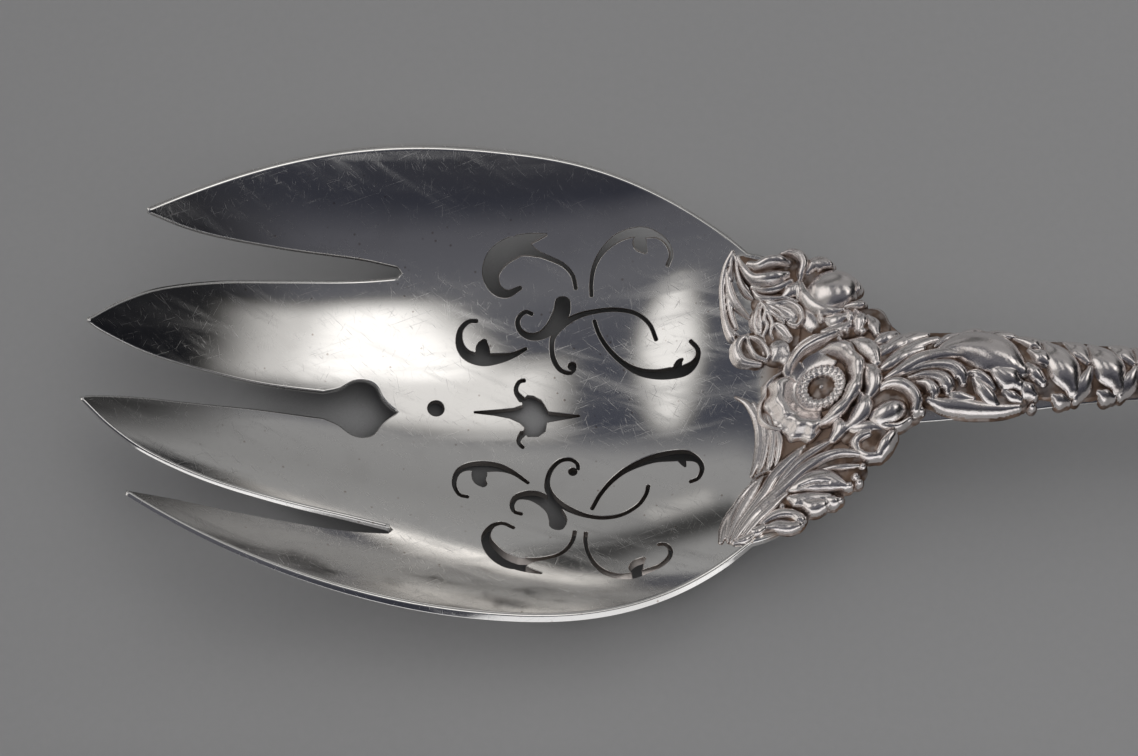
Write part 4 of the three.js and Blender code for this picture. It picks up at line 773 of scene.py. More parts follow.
# The room's far right is shaded: x where that begins and ends, and the share of light before and after.
SHADED_SIDE = (0.47, 0.68, 1.0, 0.12)
# Width of the floor and nearest view of the camera in metres, and the camera's sensor in millimetres.
FLOOR_SIZE = 4.0
NEAREST_VIEW = 0.01
SENSOR_WIDTH = 36.0
# The panels fade towards the floor between these heights of the direction.
HORIZON = (0.0, 0.1)


def flowing_line(rows, spacing):
    """A smooth line through the rows, sampled evenly along its plan."""
    points = np.asarray(rows, float)
    padded = np.vstack([2 * points[0] - points[1], points, 2 * points[-1] - points[-2]])
    t = np.linspace(0, 1, CURVE_POINTS, endpoint=False)[:, None]
    fine = []
    for a, b, c, d in zip(padded, padded[1:], padded[2:], padded[3:]):
        fine.append(b + 0.5 * t * (c - a + t * (2 * a - 5 * b + 4 * c - d + t * (3 * b - a - 3 * c + d))))
    fine = np.vstack(fine + [points[-1:]])
    run = np.concatenate([[0], np.cumsum(np.linalg.norm(np.diff(fine[:, :2], axis=0), axis=1))])
    at = np.linspace(0, run[-1], max(LEAST_STEPS, round(run[-1] / spacing)) + 1)
    return np.stack([np.interp(at, run, column) for column in fine.T], axis=1)


def left_of(line):
    """Unit vectors to the left of a plan line."""
    along = np.gradient(line[:, :2], axis=0)
    along /= np.linalg.norm(along, axis=1, keepdims=True)
    return np.stack([-along[:, 1], along[:, 0]], axis=1)


# Blender helpers.


def deselect_all():
    """Leave edit mode and deselect everything, because operators act on all that is selected."""
    if bpy.context.object and bpy.context.object.mode != "OBJECT":
        bpy.ops.object.mode_set(mode="OBJECT")
    bpy.ops.object.select_all(action="DESELECT")


def add_grid(columns, rows):
    """A grid primitive with that many faces, and its corners from -1 to 1."""
    deselect_all()
    bpy.ops.mesh.primitive_grid_add(x_subdivisions=int(columns), y_subdivisions=int(rows), size=2)
    piece = bpy.context.object
    corners = np.empty(len(piece.data.vertices) * 3)
    piece.data.vertices.foreach_get("co", corners)
    return piece, corners.reshape(-1, 3)


def move_corners(mesh, places):
    """Put every corner of a mesh at its place."""
    mesh.vertices.foreach_set("co", np.asarray(places, float).ravel())
    mesh.update()


def set_tarnish(mesh, values):
    """Keep each corner's tarnish, from 0 to 1, for the finishes to read."""
    layer = mesh.attributes.new("tarnish", "FLOAT", "POINT")
    layer.data.foreach_set("value", np.asarray(values, np.float32))


def finish_piece(piece, node, slot):
    """Give a piece its finish and its place in the frame."""
    piece.data.materials.clear()
    piece.data.materials.append(silver_for(slot))
    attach(piece, "root")
    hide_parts(node)


# Reliefs: heights over the seat in millimetres, negative outside the form.


def nearest(line, points):
    """The nearest sample of a line and its distance, for each point."""
    index = np.empty(len(points), int)
    for first in range(0, len(points), BATCH):
        part = points[first:first + BATCH]
        gaps = ((part[:, None, :] - line[None, :, :2]) ** 2).sum(axis=2)
        index[first:first + BATCH] = gaps.argmin(axis=1)
    return index, np.linalg.norm(points - line[index, :2], axis=1)


def close_to(line, points, room):
    """Which points lie in the plan box round a line, with that much room."""
    return np.all((points > line[:, :2].min(0) - room) & (points < line[:, :2].max(0) + room), axis=1)


def ridge(points, rows, fullness=1.0, power=RIDGE_POWER):
    """A ridge along a line of [x, y, width, rise]; a low power makes its back flat."""
    line = flowing_line(rows, LINE_STEP)
    half = fullness * line[:, 2] / 2
    height = np.full(len(points), -OUTSIDE_DEPTH)
    close = close_to(line, points, half.max() + OUTSIDE_DEPTH / FLANK)
    index, distance = nearest(line, points[close])
    share = distance / half[index]
    swell = line[index, 3] * np.clip(1 - share**2, 0, 1) ** power
    height[close] = np.where(share < 1, swell, FLANK * (half[index] - distance))
    return height


def groove(points, rows):
    """How deep a line of [x, y, width, depth] is cut at each point."""
    line = flowing_line(rows, LINE_STEP)
    depth = np.zeros(len(points))
    close = close_to(line, points, GROOVE_ROOM)
    index, distance = nearest(line, points[close])
    depth[close] = line[index, 3] * np.exp(-((2 * distance / line[index, 2]) ** 2))
    return depth


def oval(points, x, y, long, short, turn, rise, dish=0.0):
    """An oval dome, hollowed in its middle by the dish."""
    offset = points - (x, y)
    a = (offset[:, 0] * math.cos(turn) + offset[:, 1] * math.sin(turn)) / long
    b = (offset[:, 1] * math.cos(turn) - offset[:, 0] * math.sin(turn)) / short
    q = np.hypot(a, b)
    swell = rise * np.sqrt(np.clip(1 - q**2, 0, 1)) - dish * np.exp(-((q / DISH_REACH) ** 4))
    return np.where(q < 1, swell, FLANK * min(long, short) * (1 - q))


def petal(points, middle, row):
    """A cupped petal: it lifts from the stamens and rolls over towards its waved rim."""
    angle, spread, inner, outer, rise, flutes, crest = row
    offset = points - middle
    reach = np.hypot(offset[:, 0], offset[:, 1])
    turn = np.degrees(np.arctan2(offset[:, 1], offset[:, 0])) - angle
    v = ((turn + 180) % 360 - 180) / spread
    inside = np.clip(v, -1, 1)
    wave = np.cos(np.pi * flutes * inside)
    rim = outer * (1 - RIM_DROP * inside**4) + RIM_WAVE * wave
    r = np.clip((reach - inner) / (rim - inner), 0, 1)
    up = np.sin(np.pi / 2 * np.clip(r / crest, 0, 1)) ** 2
    down = np.sin(np.pi / 2 * np.clip((r - crest) / (1 - crest), 0, 1)) ** 2
    cup = PETAL_START + (1 - PETAL_START) * up - (1 - PETAL_END) * down
    ripple = FLUTE_DEPTH * r * wave
    fall = np.sqrt(np.clip(1 - np.abs(inside) ** 3, 0, 1))
    swell = rise * (cup * lerp(PETAL_SIDE, 1, fall) + ripple * fall)
    past = np.minimum(rim - reach, np.radians(spread) * reach * (1 - np.abs(v)))
    past = np.minimum(past, reach - inner)
    return swell + FLANK * np.minimum(past, 0)


def softer_max(a, b, soft):
    """The larger of two heights, with a soft valley between them."""
    return (a + b + np.hypot(a - b, soft)) / 2


def box_mean(field, size):
    """Mean over a square window of that many cells on each side."""
    padded = np.pad(field, size, mode="edge")
    for axis in (0, 1):
        count = padded.shape[axis] - 2 * size
        padded = sum(np.take(padded, np.arange(k, k + count), axis=axis) for k in range(2 * size + 1))
        padded = padded / (2 * size + 1)
    return padded


def casting_heights(node, points, forms, grounds, fullness):
    """Heights of a casting's ground and of its finished relief over the seat."""
    height = np.full(len(points), -OUTSIDE_DEPTH)
    for form in grounds:
        height = softer_max(height, form(points), VALLEY_SOFTNESS)
    for rows in PADS.get(node, ()):
        height = softer_max(height, ridge(points, rows, 1, PAD_POWER), VALLEY_SOFTNESS)
    ground = np.maximum(height, 0)
    for form in forms:
        height = softer_max(height, form(points), VALLEY_SOFTNESS)
    for rows in STROKES.get(node, ()):
        height = softer_max(height, ridge(points, rows, fullness), VALLEY_SOFTNESS)
    for x, y, radius, rise in BEADS.get(node, ()):
        height = softer_max(height, oval(points, x, y, radius, radius, 0, rise), VALLEY_SOFTNESS)
    for rows in GROOVES.get(node, ()):
        height = height - groove(points, rows)
    return ground, height


def close_underneath(piece, dropped, depth):
    """Delete the dropped corners and close the rest of the relief that far below."""
    bpy.ops.object.mode_set(mode="EDIT")
    bpy.ops.mesh.select_mode(type="VERT")
    bpy.ops.mesh.select_all(action="DESELECT")
    bpy.ops.object.mode_set(mode="OBJECT")
    piece.data.vertices.foreach_set("select", dropped)
    bpy.ops.object.mode_set(mode="EDIT")
    bpy.ops.mesh.delete(type="VERT")
    bpy.ops.mesh.select_all(action="SELECT")
    bpy.ops.mesh.extrude_region_move(TRANSFORM_OT_translate={"value": (0, 0, -depth)})
    bpy.ops.mesh.select_all(action="SELECT")
    bpy.ops.mesh.normals_make_consistent(inside=False)
    bpy.ops.object.mode_set(mode="OBJECT")
    bpy.ops.object.shade_smooth_by_angle(angle=SMOOTH_ANGLE)


def chased_piece(node, forms, low, high, grounds=()):
    """One casting: a grid primitive over its plan box takes the forms' heights; what lies well below the seat
    is deleted, the rest is closed underneath."""
    sizes = settings()[0]
    pitch = sizes.relief_step / MM
    low, high = np.array(low, float), np.array(high, float)
    columns, rows = np.ceil((high - low) / pitch).astype(int)
    piece, grid = add_grid(columns, rows)
    column, row = np.rint((grid[:, :2] + 1) / 2 * (columns, rows)).astype(int).T
    points = low + (grid[:, :2] + 1) / 2 * (high - low)
    fullness = RIBBON_FULLNESS if node in RIBBONS else sizes.fullness
    ground, height = casting_heights(node, points, forms, grounds, fullness)
    field = np.zeros((columns + 1, rows + 1))
    field[column, row] = height
    # Tarnish stays in hollows and on the ground
    hollow = box_mean(field, round(RECESS_WINDOW / pitch)) - field
    tarnish = np.clip(hollow[column, row] / RECESS_DEPTH, 0, 1)
    tarnish = np.maximum(tarnish, 1 - smoothstep(height - ground, 0, LOW_GROUND))
    # Corners just outside the form move onto its edge; those further out are dropped
    slope = np.stack(np.gradient(field, pitch), axis=-1)[column, row]
    near = np.pad(field > -SINK, 1)
    near = sum(near[i:i + columns + 1, j:j + rows + 1] for i in range(3) for j in range(3)) > 0
    past = height + SINK < 0
    shift = slope * ((height + SINK) / np.maximum((slope**2).sum(axis=1), LEAST_SLOPE))[:, None]
    points = np.where(past[:, None], points - np.clip(shift, -pitch, pitch), points)
    height = np.maximum(height, -SINK)
    relief = np.where(height > 0, sizes.relief * height, height)
    places = np.column_stack([points, top_height(points[:, 0], points[:, 1]) + relief])
    move_corners(piece.data, in_frame(places))
    set_tarnish(piece.data, tarnish)
    close_underneath(piece, ~near[column, row], sizes.seat_depth)
    piece.name = f"{node}_chased"
    finish_piece(piece, node, "oxidised_silver")


def chased_round(node, forms, middle, room, grounds=()):
    """One casting in a square plan box round its middle."""
    chased_piece(node, forms, np.subtract(middle, room), np.add(middle, room), grounds)


def box_of(node):
    """Plan box round the strokes, pads and beads of a casting."""
    places = [bead[:2] for bead in BEADS.get(node, ())]
    for rows in STROKES.get(node, ()) + PADS.get(node, ()):
        for x, y, width, _ in rows:
            places += [(x - width / 2, y - width / 2), (x + width / 2, y + width / 2)]
    places = np.array(places)
    return places.min(0) - PLAN_MARGIN, places.max(0) + PLAN_MARGIN


def stroke_piece(node, forms=()):
    """One casting in the plan box that its strokes need."""
    chased_piece(node, forms, *box_of(node))


# The pierced bowl.


def mirrored(points):
    """The points on the other side of the fork."""
    return [(x, -y) for x, y in points]


def bowl_outline(step):
    """Plan of the bowl: rim, tines and slots above the midline, then the same below."""
    stations = np.linspace(TAIL_END, -OUTER_TINE_REACH, RIM_STATIONS)
    rim = list(zip(stations, half_width(stations)))

    def edge(*points):
        return [tuple(point) for point in flowing_line(points, step)]

    slot_mouth = -SLOT_END - SLOT_WIDTH / 2
    outer_tine = edge(
        (-OUTER_TINE_REACH, OUTER_TIP_HALF_SPAN - TIP_BLUNTNESS), *OUTER_TINE_EDGE,
        (slot_mouth, SLOT_HALF_SPAN + SLOT_WIDTH / 2))
    inner_tine = edge(
        (slot_mouth, SLOT_HALF_SPAN - SLOT_WIDTH / 2), *INNER_TINE_EDGE,
        (-TINE_REACH, INNER_TIP_HALF_SPAN + TIP_BLUNTNESS / 2))
    keyhole_edge = [(along - KEYHOLE_MIDDLE, side) for along, side in KEYHOLE_EDGE]
    middle_edge = edge(
        (-TINE_REACH, INNER_TIP_HALF_SPAN - TIP_BLUNTNESS / 2), *MIDDLE_SLOT_EDGE, keyhole_edge[0])
    keyhole = edge(*keyhole_edge, (-KEYHOLE_POINT, 0))
    upper = rim + outer_tine + [(-SLOT_END, SLOT_HALF_SPAN)] + inner_tine + middle_edge + keyhole[1:-1]
    return np.array(upper + [(-KEYHOLE_POINT, 0)] + mirrored(upper)[::-1])


def saw_line(stroke, step, grow):
    """Outline of a sawn stroke with rounded ends, grown by that much."""
    line = flowing_line(stroke, step)
    side = left_of(line)
    half = np.maximum(line[:, 2], LEAST_STROKE) / 2 + grow
    turn = np.linspace(0, np.pi, CAP_STEPS + 1)[1:-1, None]

    def cap(k, forward):
        ahead = forward * np.array([side[k, 1], -side[k, 0]])
        across = forward * side[k]
        return line[k, :2] + half[k] * (np.cos(turn) * across + STROKE_ROUNDING * np.sin(turn) * ahead)

    left = line[:, :2] + side * half[:, None]
    right = line[:, :2] - side * half[:, None]
    return np.vstack([left, cap(-1, 1), right[::-1], cap(0, -1)])


def circle(middle, radius, sides):
    """Points round a circle in plan."""
    turn = np.linspace(0, 2 * np.pi, sides, endpoint=False)
    return np.column_stack([middle[0] + radius * np.cos(turn), middle[1] + radius * np.sin(turn)])


def shrunk(outline, inset):
    """A closed outline moved to its left by that much."""
    along = np.roll(outline, -1, axis=0) - np.roll(outline, 1, axis=0)
    along /= np.maximum(np.linalg.norm(along, axis=1, keepdims=True), TINY)
    return outline + inset * np.stack([-along[:, 1], along[:, 0]], axis=1)


def holes(step, grow):
    """Outlines of all piercings, grown by that much."""
    sawn = [saw_line(stroke, step, grow) for stroke in UPPER_SCROLLS + LOWER_SCROLLS]
    balls = [circle(middle, BALL_RADIUS + grow, BALL_SIDES) for middle in BALLS]
    cross = np.array(CROSS_FIGURE)
    cross = shrunk(cross, grow) if grow else cross
    return sawn + balls + [cross, circle(ROUND_HOLE, ROUND_HOLE_RADIUS + grow, HOLE_SIDES)]


def winds_round(points, outline):
    """How often a closed outline goes round each point."""
    turns = np.zeros(len(points), int)
    x, y = points[:, 0], points[:, 1]
    for (ax, ay), (bx, by) in zip(outline, np.roll(outline, -1, axis=0)):
        if ay == by:
            continue
        left = (bx - ax) * (y - ay) - (x - ax) * (by - ay)
        turns += ((ay <= y) & (by > y) & (left > 0)).astype(int)
        turns -= ((ay > y) & (by <= y) & (left < 0)).astype(int)
    return turns


def is_metal(points, outline, gaps):
    """Which points lie on the sheet and in no piercing."""
    metal = winds_round(points, outline) != 0
    for gap in gaps:
        near = np.all((points >= gap.min(0)) & (points <= gap.max(0)), axis=1)
        metal[near] &= winds_round(points[near], gap) == 0
    return metal


def free_points(loop_points, outline, spacing):
    """Points of an even grid over the sheet that keep clear of every sawn edge."""
    lows, highs = outline.min(0), outline.max(0)
    axes = [np.arange(low, high, spacing) for low, high in zip(lows, highs)]
    grid = np.stack(np.meshgrid(*axes), -1).reshape(-1, 2)
    cells = {}
    for point in loop_points:
        cells.setdefault((int(point[0] // spacing), int(point[1] // spacing)), []).append(point)
    free = []
    for point in grid:
        i, j = int(point[0] // spacing), int(point[1] // spacing)
        near = [p for a in (i - 1, i, i + 1) for b in (j - 1, j, j + 1) for p in cells.get((a, b), ())]
        if not near or np.min(np.linalg.norm(np.array(near) - point, axis=1)) > spacing * GRID_CLEARANCE:
            free.append(point)
    return free


def sawn_plan(sizes):
    """Triangles of the pierced sheet in plan, with a narrow strip along every edge for its softening."""
    step = sizes.saw_step / MM
    outline = bowl_outline(step)
    gaps = holes(step, 0)
    strips = [shrunk(outline, sizes.rim_softness / MM)], holes(step, sizes.edge_softness / MM)
    loops = [outline, *strips[0], *gaps, *strips[1]]
    loop_points = np.vstack(loops)
    free = free_points(loop_points, outline, sizes.sheet_step / MM)
    edges = []
    start = 0
    for loop in loops:
        count = len(loop)
        edges += [(start + k, start + (k + 1) % count) for k in range(count)]
        start += count
    points = [Vector(point) for point in np.vstack([loop_points, free])]
    corners, _, faces, *_ = delaunay_2d_cdt(points, edges, [], 0, MERGE_GAP, False)
    corners = np.array(corners)
    faces = np.array(faces)
    kept = faces[is_metal(corners[faces].mean(axis=1), outline, gaps)]
    used = np.unique(kept)
    number = np.full(len(corners), -1)
    number[used] = np.arange(len(used))
    on_rim = np.zeros(len(used), bool)
    for first in range(0, len(used), BATCH):
        part = corners[used[first:first + BATCH]]
        gap = ((part[:, None, :] - outline[None]) ** 2).sum(axis=2).min(axis=1)
        on_rim[first:first + BATCH] = gap < ON_RIM_GAP
    return corners[used], number[kept], on_rim


def open_edges(faces):
    """Edges that only one triangle has, in that triangle's direction."""
    pairs = np.vstack([faces[:, [0, 1]], faces[:, [1, 2]], faces[:, [2, 0]]])
    known = {tuple(pair) for pair in pairs.tolist()}
    return np.array([pair for pair in pairs.tolist() if (pair[1], pair[0]) not in known])


def rim_normals(top, rim, face_normal):
    """Directions out of the sheet along its edges, for the shading of the softened corners."""
    out = np.zeros_like(top)
    side = np.cross(top[rim[:, 1]] - top[rim[:, 0]], face_normal[rim[:, 0]])
    np.add.at(out, rim[:, 0], side)
    np.add.at(out, rim[:, 1], side)
    return out / np.maximum(np.linalg.norm(out, axis=1, keepdims=True), TINY)


def back_normals(x, y):
    """Directions square to the sheet's back."""
    east, west = back_points(x + NORMAL_STEP, y), back_points(x - NORMAL_STEP, y)
    north, south = back_points(x, y + NORMAL_STEP), back_points(x, y - NORMAL_STEP)
    normal = np.cross(north - south, east - west)
    return normal / np.linalg.norm(normal, axis=1, keepdims=True)


def make_bowl(sizes):
    """The sheet is triangulated in plan, because no primitive can be sawn into so many free scrolls; its two
    faces are then raised, and the edges between them softened."""
    plan, faces, on_rim = sawn_plan(sizes)
    x, y = plan[:, 0], plan[:, 1]
    rim = open_edges(faces)
    is_rim = np.zeros(len(plan), bool)
    is_rim[rim.ravel()] = True
    metal = thickness(x, y)
    rounding = np.minimum(sizes.rim_softness / MM, RIM_SHARE * metal)
    soft = np.where(is_rim, np.where(on_rim, rounding, sizes.edge_softness / MM), 0)
    top = raised(x, y, soft)
    back = raised(x, y, metal - soft)
    count = len(plan)
    walls = np.column_stack([rim[:, 1], rim[:, 0], rim[:, 0] + count, rim[:, 1] + count])
    mesh = bpy.data.meshes.new("bowl_raised")
    mesh.from_pydata(in_frame(np.vstack([top, back])), [],
                     faces.tolist() + (faces[:, ::-1] + count).tolist() + walls.tolist())
    face_normal = top_normal(x, y)
    out = rim_normals(top, rim, face_normal)
    fronts = np.where(is_rim[:, None], out, face_normal)
    backs = np.where(is_rim[:, None], out, back_normals(x, y))
    mesh.polygons.foreach_set("use_smooth", np.ones(len(mesh.polygons), bool))
    mesh.normals_split_custom_set_from_vertices(np.vstack([fronts, backs]).tolist())
    sawn = SAWN_TARNISH * (is_rim & ~on_rim)
    set_tarnish(mesh, np.concatenate([np.maximum(sawn, smoothstep(x, *BOWL_TARNISH)), sawn]))
    piece = bpy.data.objects.new("bowl_raised", mesh)
    bpy.context.collection.objects.link(piece)
    return piece


def squared(value, power):
    """A sine or cosine bent towards a squarer section."""
    return np.sign(value) * np.abs(value) ** power


def make_handle(sizes):
    """A grid primitive rolled round the bar's section; its seam is welded and its root closed."""
    piece, grid = add_grid(sizes.handle_steps, sizes.handle_sides)
    t = (grid[:, 0] + 1) / 2
    crowded = (1 - END_CROWDING) * t + END_CROWDING * np.sin(np.pi / 2 * t)
    x = lerp(TAIL_END - ROOT_OVERLAP, HANDLE_END, crowded)
    turn = np.pi * (grid[:, 1] + 1)
    across = squared(np.cos(turn), BAR_SIDE_POWER)
    up = squared(np.sin(turn), BAR_FACE_POWER)
    y = half_width(x) * across
    top = raised(x, y, np.zeros_like(x))
    back = back_points(x, y)
    places = (top + back) / 2 + (top - back) / 2 * up[:, None]
    move_corners(piece.data, in_frame(places))
    fade = 1 - smoothstep(x, *HANDLE_TARNISH)
    set_tarnish(piece.data, (up > 0) * fade * smoothstep(1 - np.abs(across), 0, BARE_EDGE))
    bpy.ops.object.mode_set(mode="EDIT")
    bpy.ops.mesh.select_all(action="SELECT")
    bpy.ops.mesh.remove_doubles(threshold=WELD_GAP)
    bpy.ops.mesh.select_all(action="DESELECT")
    bpy.ops.mesh.select_non_manifold()
    bpy.ops.mesh.edge_face_add()
    bpy.ops.mesh.select_all(action="SELECT")
    bpy.ops.mesh.normals_make_consistent(inside=False)
    bpy.ops.object.mode_set(mode="OBJECT")
    bpy.ops.object.shade_smooth_by_angle(angle=SMOOTH_ANGLE)
    piece.name = "handle_bar"
    return piece


# Finishes.


class NodeTree:
    """A short way to add and link shader nodes."""

    def __init__(self, tree):
        self.tree = tree

    def feed(self, socket, value):
        """Link an output to a socket, or set a constant on it."""
        if isinstance(value, bpy.types.NodeSocket):
            self.tree.links.new(value, socket)
        else:
            socket.default_value = value

    def add(self, kind, **inputs):
        """A node with its inputs fed by name, with _ for a space."""
        node = self.tree.nodes.new(kind)
        for name, value in inputs.items():
            self.feed(node.inputs[name.replace("_", " ")], value)
        return node

    def math(self, operation, a, b):
        """One sum of two values."""
        node = self.tree.nodes.new("ShaderNodeMath")
        node.operation = operation
        self.feed(node.inputs[0], a)
        self.feed(node.inputs[1], b)
        return node.outputs[0]

    def vectors(self, operation, a, b):
        """A node with one sum of two vectors."""
        node = self.tree.nodes.new("ShaderNodeVectorMath")
        node.operation = operation
        self.feed(node.inputs[0], a)
        self.feed(node.inputs[1], b)
        return node

    def largest(self, values):
        """The largest of several values."""
        first, *others = values
        for value in others:
            first = self.math("MAXIMUM", first, value)
        return first

    def ramp(self, value, low, high, to_low=0.0, to_high=1.0):
        """A soft step of a value between two limits."""
        node = self.tree.nodes.new("ShaderNodeMapRange")
        node.interpolation_type = "SMOOTHSTEP"
        self.tree.links.new(value, node.inputs["Value"])
        for name, number in (("From Min", low), ("From Max", high), ("To Min", to_low), ("To Max", to_high)):
            node.inputs[name].default_value = number
        return node.outputs["Result"]

    def mix(self, factor, a, b):
        """Colour a where the factor is 0, colour b where it is 1."""
        node = self.tree.nodes.new("ShaderNodeMix")
        node.data_type = "RGBA"
        for name, value in (("Factor", factor), ("A", a), ("B", b)):
            kinds = ("VALUE",) if name == "Factor" else ("RGBA",)
            self.feed(next(s for s in node.inputs if s.name == name and s.type in kinds), value)
        return next(s for s in node.outputs if s.type == "RGBA")

    def noise(self, place, scale, detail):
        """Noise with that many waves in a metre."""
        return self.add("ShaderNodeTexNoise", Vector=place, Scale=scale, Detail=detail).outputs["Fac"]

    def drawn_out(self, place, turn, length, width, detail):
        """Noise drawn out along one direction, by its length and width in metres."""
        mapping = self.add("ShaderNodeMapping", Vector=place, Rotation=turn, Scale=(length, width, length))
        mapping.vector_type = "TEXTURE"
        return self.noise(mapping.outputs[0], 1.0, detail)

    def tarnish(self):
        """The tarnish that each piece's mesh carries."""
        attribute = self.add("ShaderNodeAttribute")
        attribute.attribute_name = "tarnish"
        return attribute.outputs["Fac"]

    def openness(self, reach, samples):
        """1 where nothing is near, 0 deep in a recess."""
        node = self.add("ShaderNodeAmbientOcclusion", Distance=reach)
        node.samples = samples
        return node.outputs["AO"]

    def metal(self, colour, rough, bumps, height):
        """Finish the material as bare metal with that relief."""
        bump = self.add("ShaderNodeBump", Height=bumps, Strength=1.0, Distance=height)
        self.surface(self.add("ShaderNodeBsdfPrincipled", Base_Color=colour, Roughness=rough, Metallic=1.0,
                              Normal=bump.outputs[0]))

    def surface(self, shader, kind="ShaderNodeOutputMaterial"):
        """Link a shader to the output."""
        self.tree.links.new(shader.outputs[0], self.add(kind).inputs["Surface"])


def new_material(name):
    """An empty material, its node tree and the places that its patterns lie on."""
    material = bpy.data.materials.new(name)
    material.use_nodes = True
    material.node_tree.nodes.clear()
    tree = NodeTree(material.node_tree)
    return material, tree, tree.add("ShaderNodeTexCoord").outputs["Object"]


def hair_scratches(tree, place):
    """Fine scratches in several directions."""
    lines = [tree.drawn_out(place, (*SCRATCH_TILT, turn), length, width, SCRATCH_DETAIL)
             for turn, length, width in SCRATCHES]
    return tree.largest([tree.ramp(line, *SCRATCH_ONSET) for line in lines])


def wiped_streaks(tree, place):
    """Broad, soft streaks in the directions of wiping."""
    lines = [tree.drawn_out(place, (0, 0, turn), length, width, WIPE_DETAIL) for turn, length, width in WIPES]
    return tree.largest([tree.ramp(line, *WIPE_ONSET) for line in lines])


def small_pits(tree, place):
    """Round pits, in patches."""
    spots = tree.add("ShaderNodeTexVoronoi", Vector=place, Scale=PIT_SCALE).outputs["Distance"]
    patches = tree.ramp(tree.noise(place, *PIT_PATCH), *PIT_PATCH_ONSET)
    return tree.math("MULTIPLY", tree.ramp(spots, *PIT_ONSET), patches)


def polished_silver(finish):
    """Mirror silver with hair scratches, wiped streaks, small pits and a faint haze from handling."""
    material, tree, place = new_material("mirror_polish")
    haze = tree.noise(place, *HAZE)
    wave = tree.noise(place, *WAVE)
    pits = small_pits(tree, place)
    scratches = hair_scratches(tree, place)
    streaks = wiped_streaks(tree, place)
    tarnish = tree.tarnish()
    stain = tree.math("MULTIPLY", tree.ramp(haze, *STAIN_ONSET), STAIN_COLOUR)
    colour = tree.mix(stain, (*finish.silver, 1), (*finish.haze, 1))
    colour = tree.mix(tree.math("MULTIPLY", pits, PIT_COLOUR), colour, (*finish.tarnish, 1))
    colour = tree.mix(tree.math("MULTIPLY", tarnish, TARNISH_COLOUR), colour, (*finish.tarnish, 1))
    rough = finish.polish_roughness
    for wear, share in ((haze, HAZE_ROUGHNESS), (scratches, SCRATCH_ROUGHNESS), (streaks, WIPE_ROUGHNESS),
                        (tarnish, TARNISH_ROUGHNESS)):
        rough = tree.math("ADD", rough, tree.math("MULTIPLY", wear, share))
    bumps = tree.math("SUBTRACT", wave, tree.math("MULTIPLY", scratches, SCRATCH_DEPTH))
    bumps = tree.math("SUBTRACT", bumps, tree.math("MULTIPLY", pits, PIT_DEPTH))
    tree.metal(colour, rough, bumps, finish.wave_height)
    return material


def oxidised_silver(finish):
    """Chased silver: bright where a thumb rubs it, brown where nothing reaches."""
    material, tree, place = new_material("chased_satin")
    grain = tree.noise(place, *GRAIN)
    blotch = tree.noise(place, *BLOTCH)
    worn = tree.noise(place, *WORN)
    open_sky = tree.openness(finish.recess_reach, RECESS_SAMPLES)
    recess = tree.math("ADD", tree.ramp(open_sky, *RECESS_ONSET), tree.ramp(tree.tarnish(), *TARNISH_ONSET))
    recess = tree.math("ADD", recess, tree.ramp(blotch, *BLOTCH_ONSET))
    rubbed = tree.ramp(worn, *WORN_ONSET)
    recess = tree.math("MULTIPLY", tree.math("MINIMUM", recess, 1.0), rubbed)
    brown = tree.mix(tree.ramp(blotch, *BROWN_ONSET), (*finish.deep_tarnish, 1), (*finish.tarnish, 1))
    colour = tree.mix(recess, (*finish.chased_silver, 1), brown)
    rough = tree.math("ADD", finish.chased_roughness, tree.math("MULTIPLY", recess, RECESS_ROUGHNESS))
    bumps = tree.math("ADD", tree.math("MULTIPLY", grain, GRAIN_DEPTH), blotch)
    tree.metal(colour, rough, bumps, finish.grain_height)
    return material


def floor_paper(studio):
    """A plain pale sheet with a faint tooth, and a painted shadow where the fork covers it closely."""
    material, tree, place = new_material("floor_paper")
    tooth = tree.noise(place, *TOOTH)
    pale, shade, painted_floor_shadow = ([share * part for part in studio.floor_colour] + [1]
                            for share in (1, TOOTH_SHADE, studio.cover_shade))
    colour = tree.mix(tooth, pale, shade)
    # Painted shadow: the floor's colour darkens where the fork lies close above it.
    open_sky = tree.openness(studio.cover_reach, COVER_SAMPLES)
    colour = tree.mix(tree.ramp(open_sky, *PAINTED_SHADOW_ONSET), painted_floor_shadow, colour)
    tree.surface(tree.add("ShaderNodeBsdfPrincipled", Base_Color=colour, Roughness=FLOOR_ROUGHNESS))
    return material


# What a user would change.


class ForkSizes(bpy.types.PropertyGroup):
    """How finely and how full the fork is made"""

    edge_softness: FloatProperty(
        name="Edge softness", description="Width of the softened strip along every sawn edge",
        default=0.00012, unit="LENGTH")
    rim_softness: FloatProperty(
        name="Rim softness", description="Width of the rounding along the rim and the tines",
        default=0.00035, unit="LENGTH")
    saw_step: FloatProperty(
        name="Saw step", description="Spacing of the points along sawn edges", default=0.0004, unit="LENGTH")
    sheet_step: FloatProperty(
        name="Sheet step", description="Spacing of the points over the bowl", default=0.0012, unit="LENGTH")
    relief_step: FloatProperty(
        name="Relief step", description="Spacing of the points over the chased work", default=0.00012,
        unit="LENGTH")
    fullness: FloatProperty(
        name="Fullness", description="Width of the chased strokes, as a share of their drawn width",
        default=1.48, subtype="FACTOR")
    handle_steps: IntProperty(
        name="Handle steps", description="Faces along the handle", default=240, subtype="UNSIGNED")
    handle_sides: IntProperty(
        name="Handle sides", description="Faces round the handle", default=56, subtype="UNSIGNED")
    seat_depth: FloatProperty(
        name="Seat depth", description="How far the chased work is closed below its edge", default=0.0004,
        unit="LENGTH")
    relief: FloatProperty(
        name="Relief", description="Height of the chased work, as a share of its drawn rise", default=1.0,
        subtype="FACTOR")


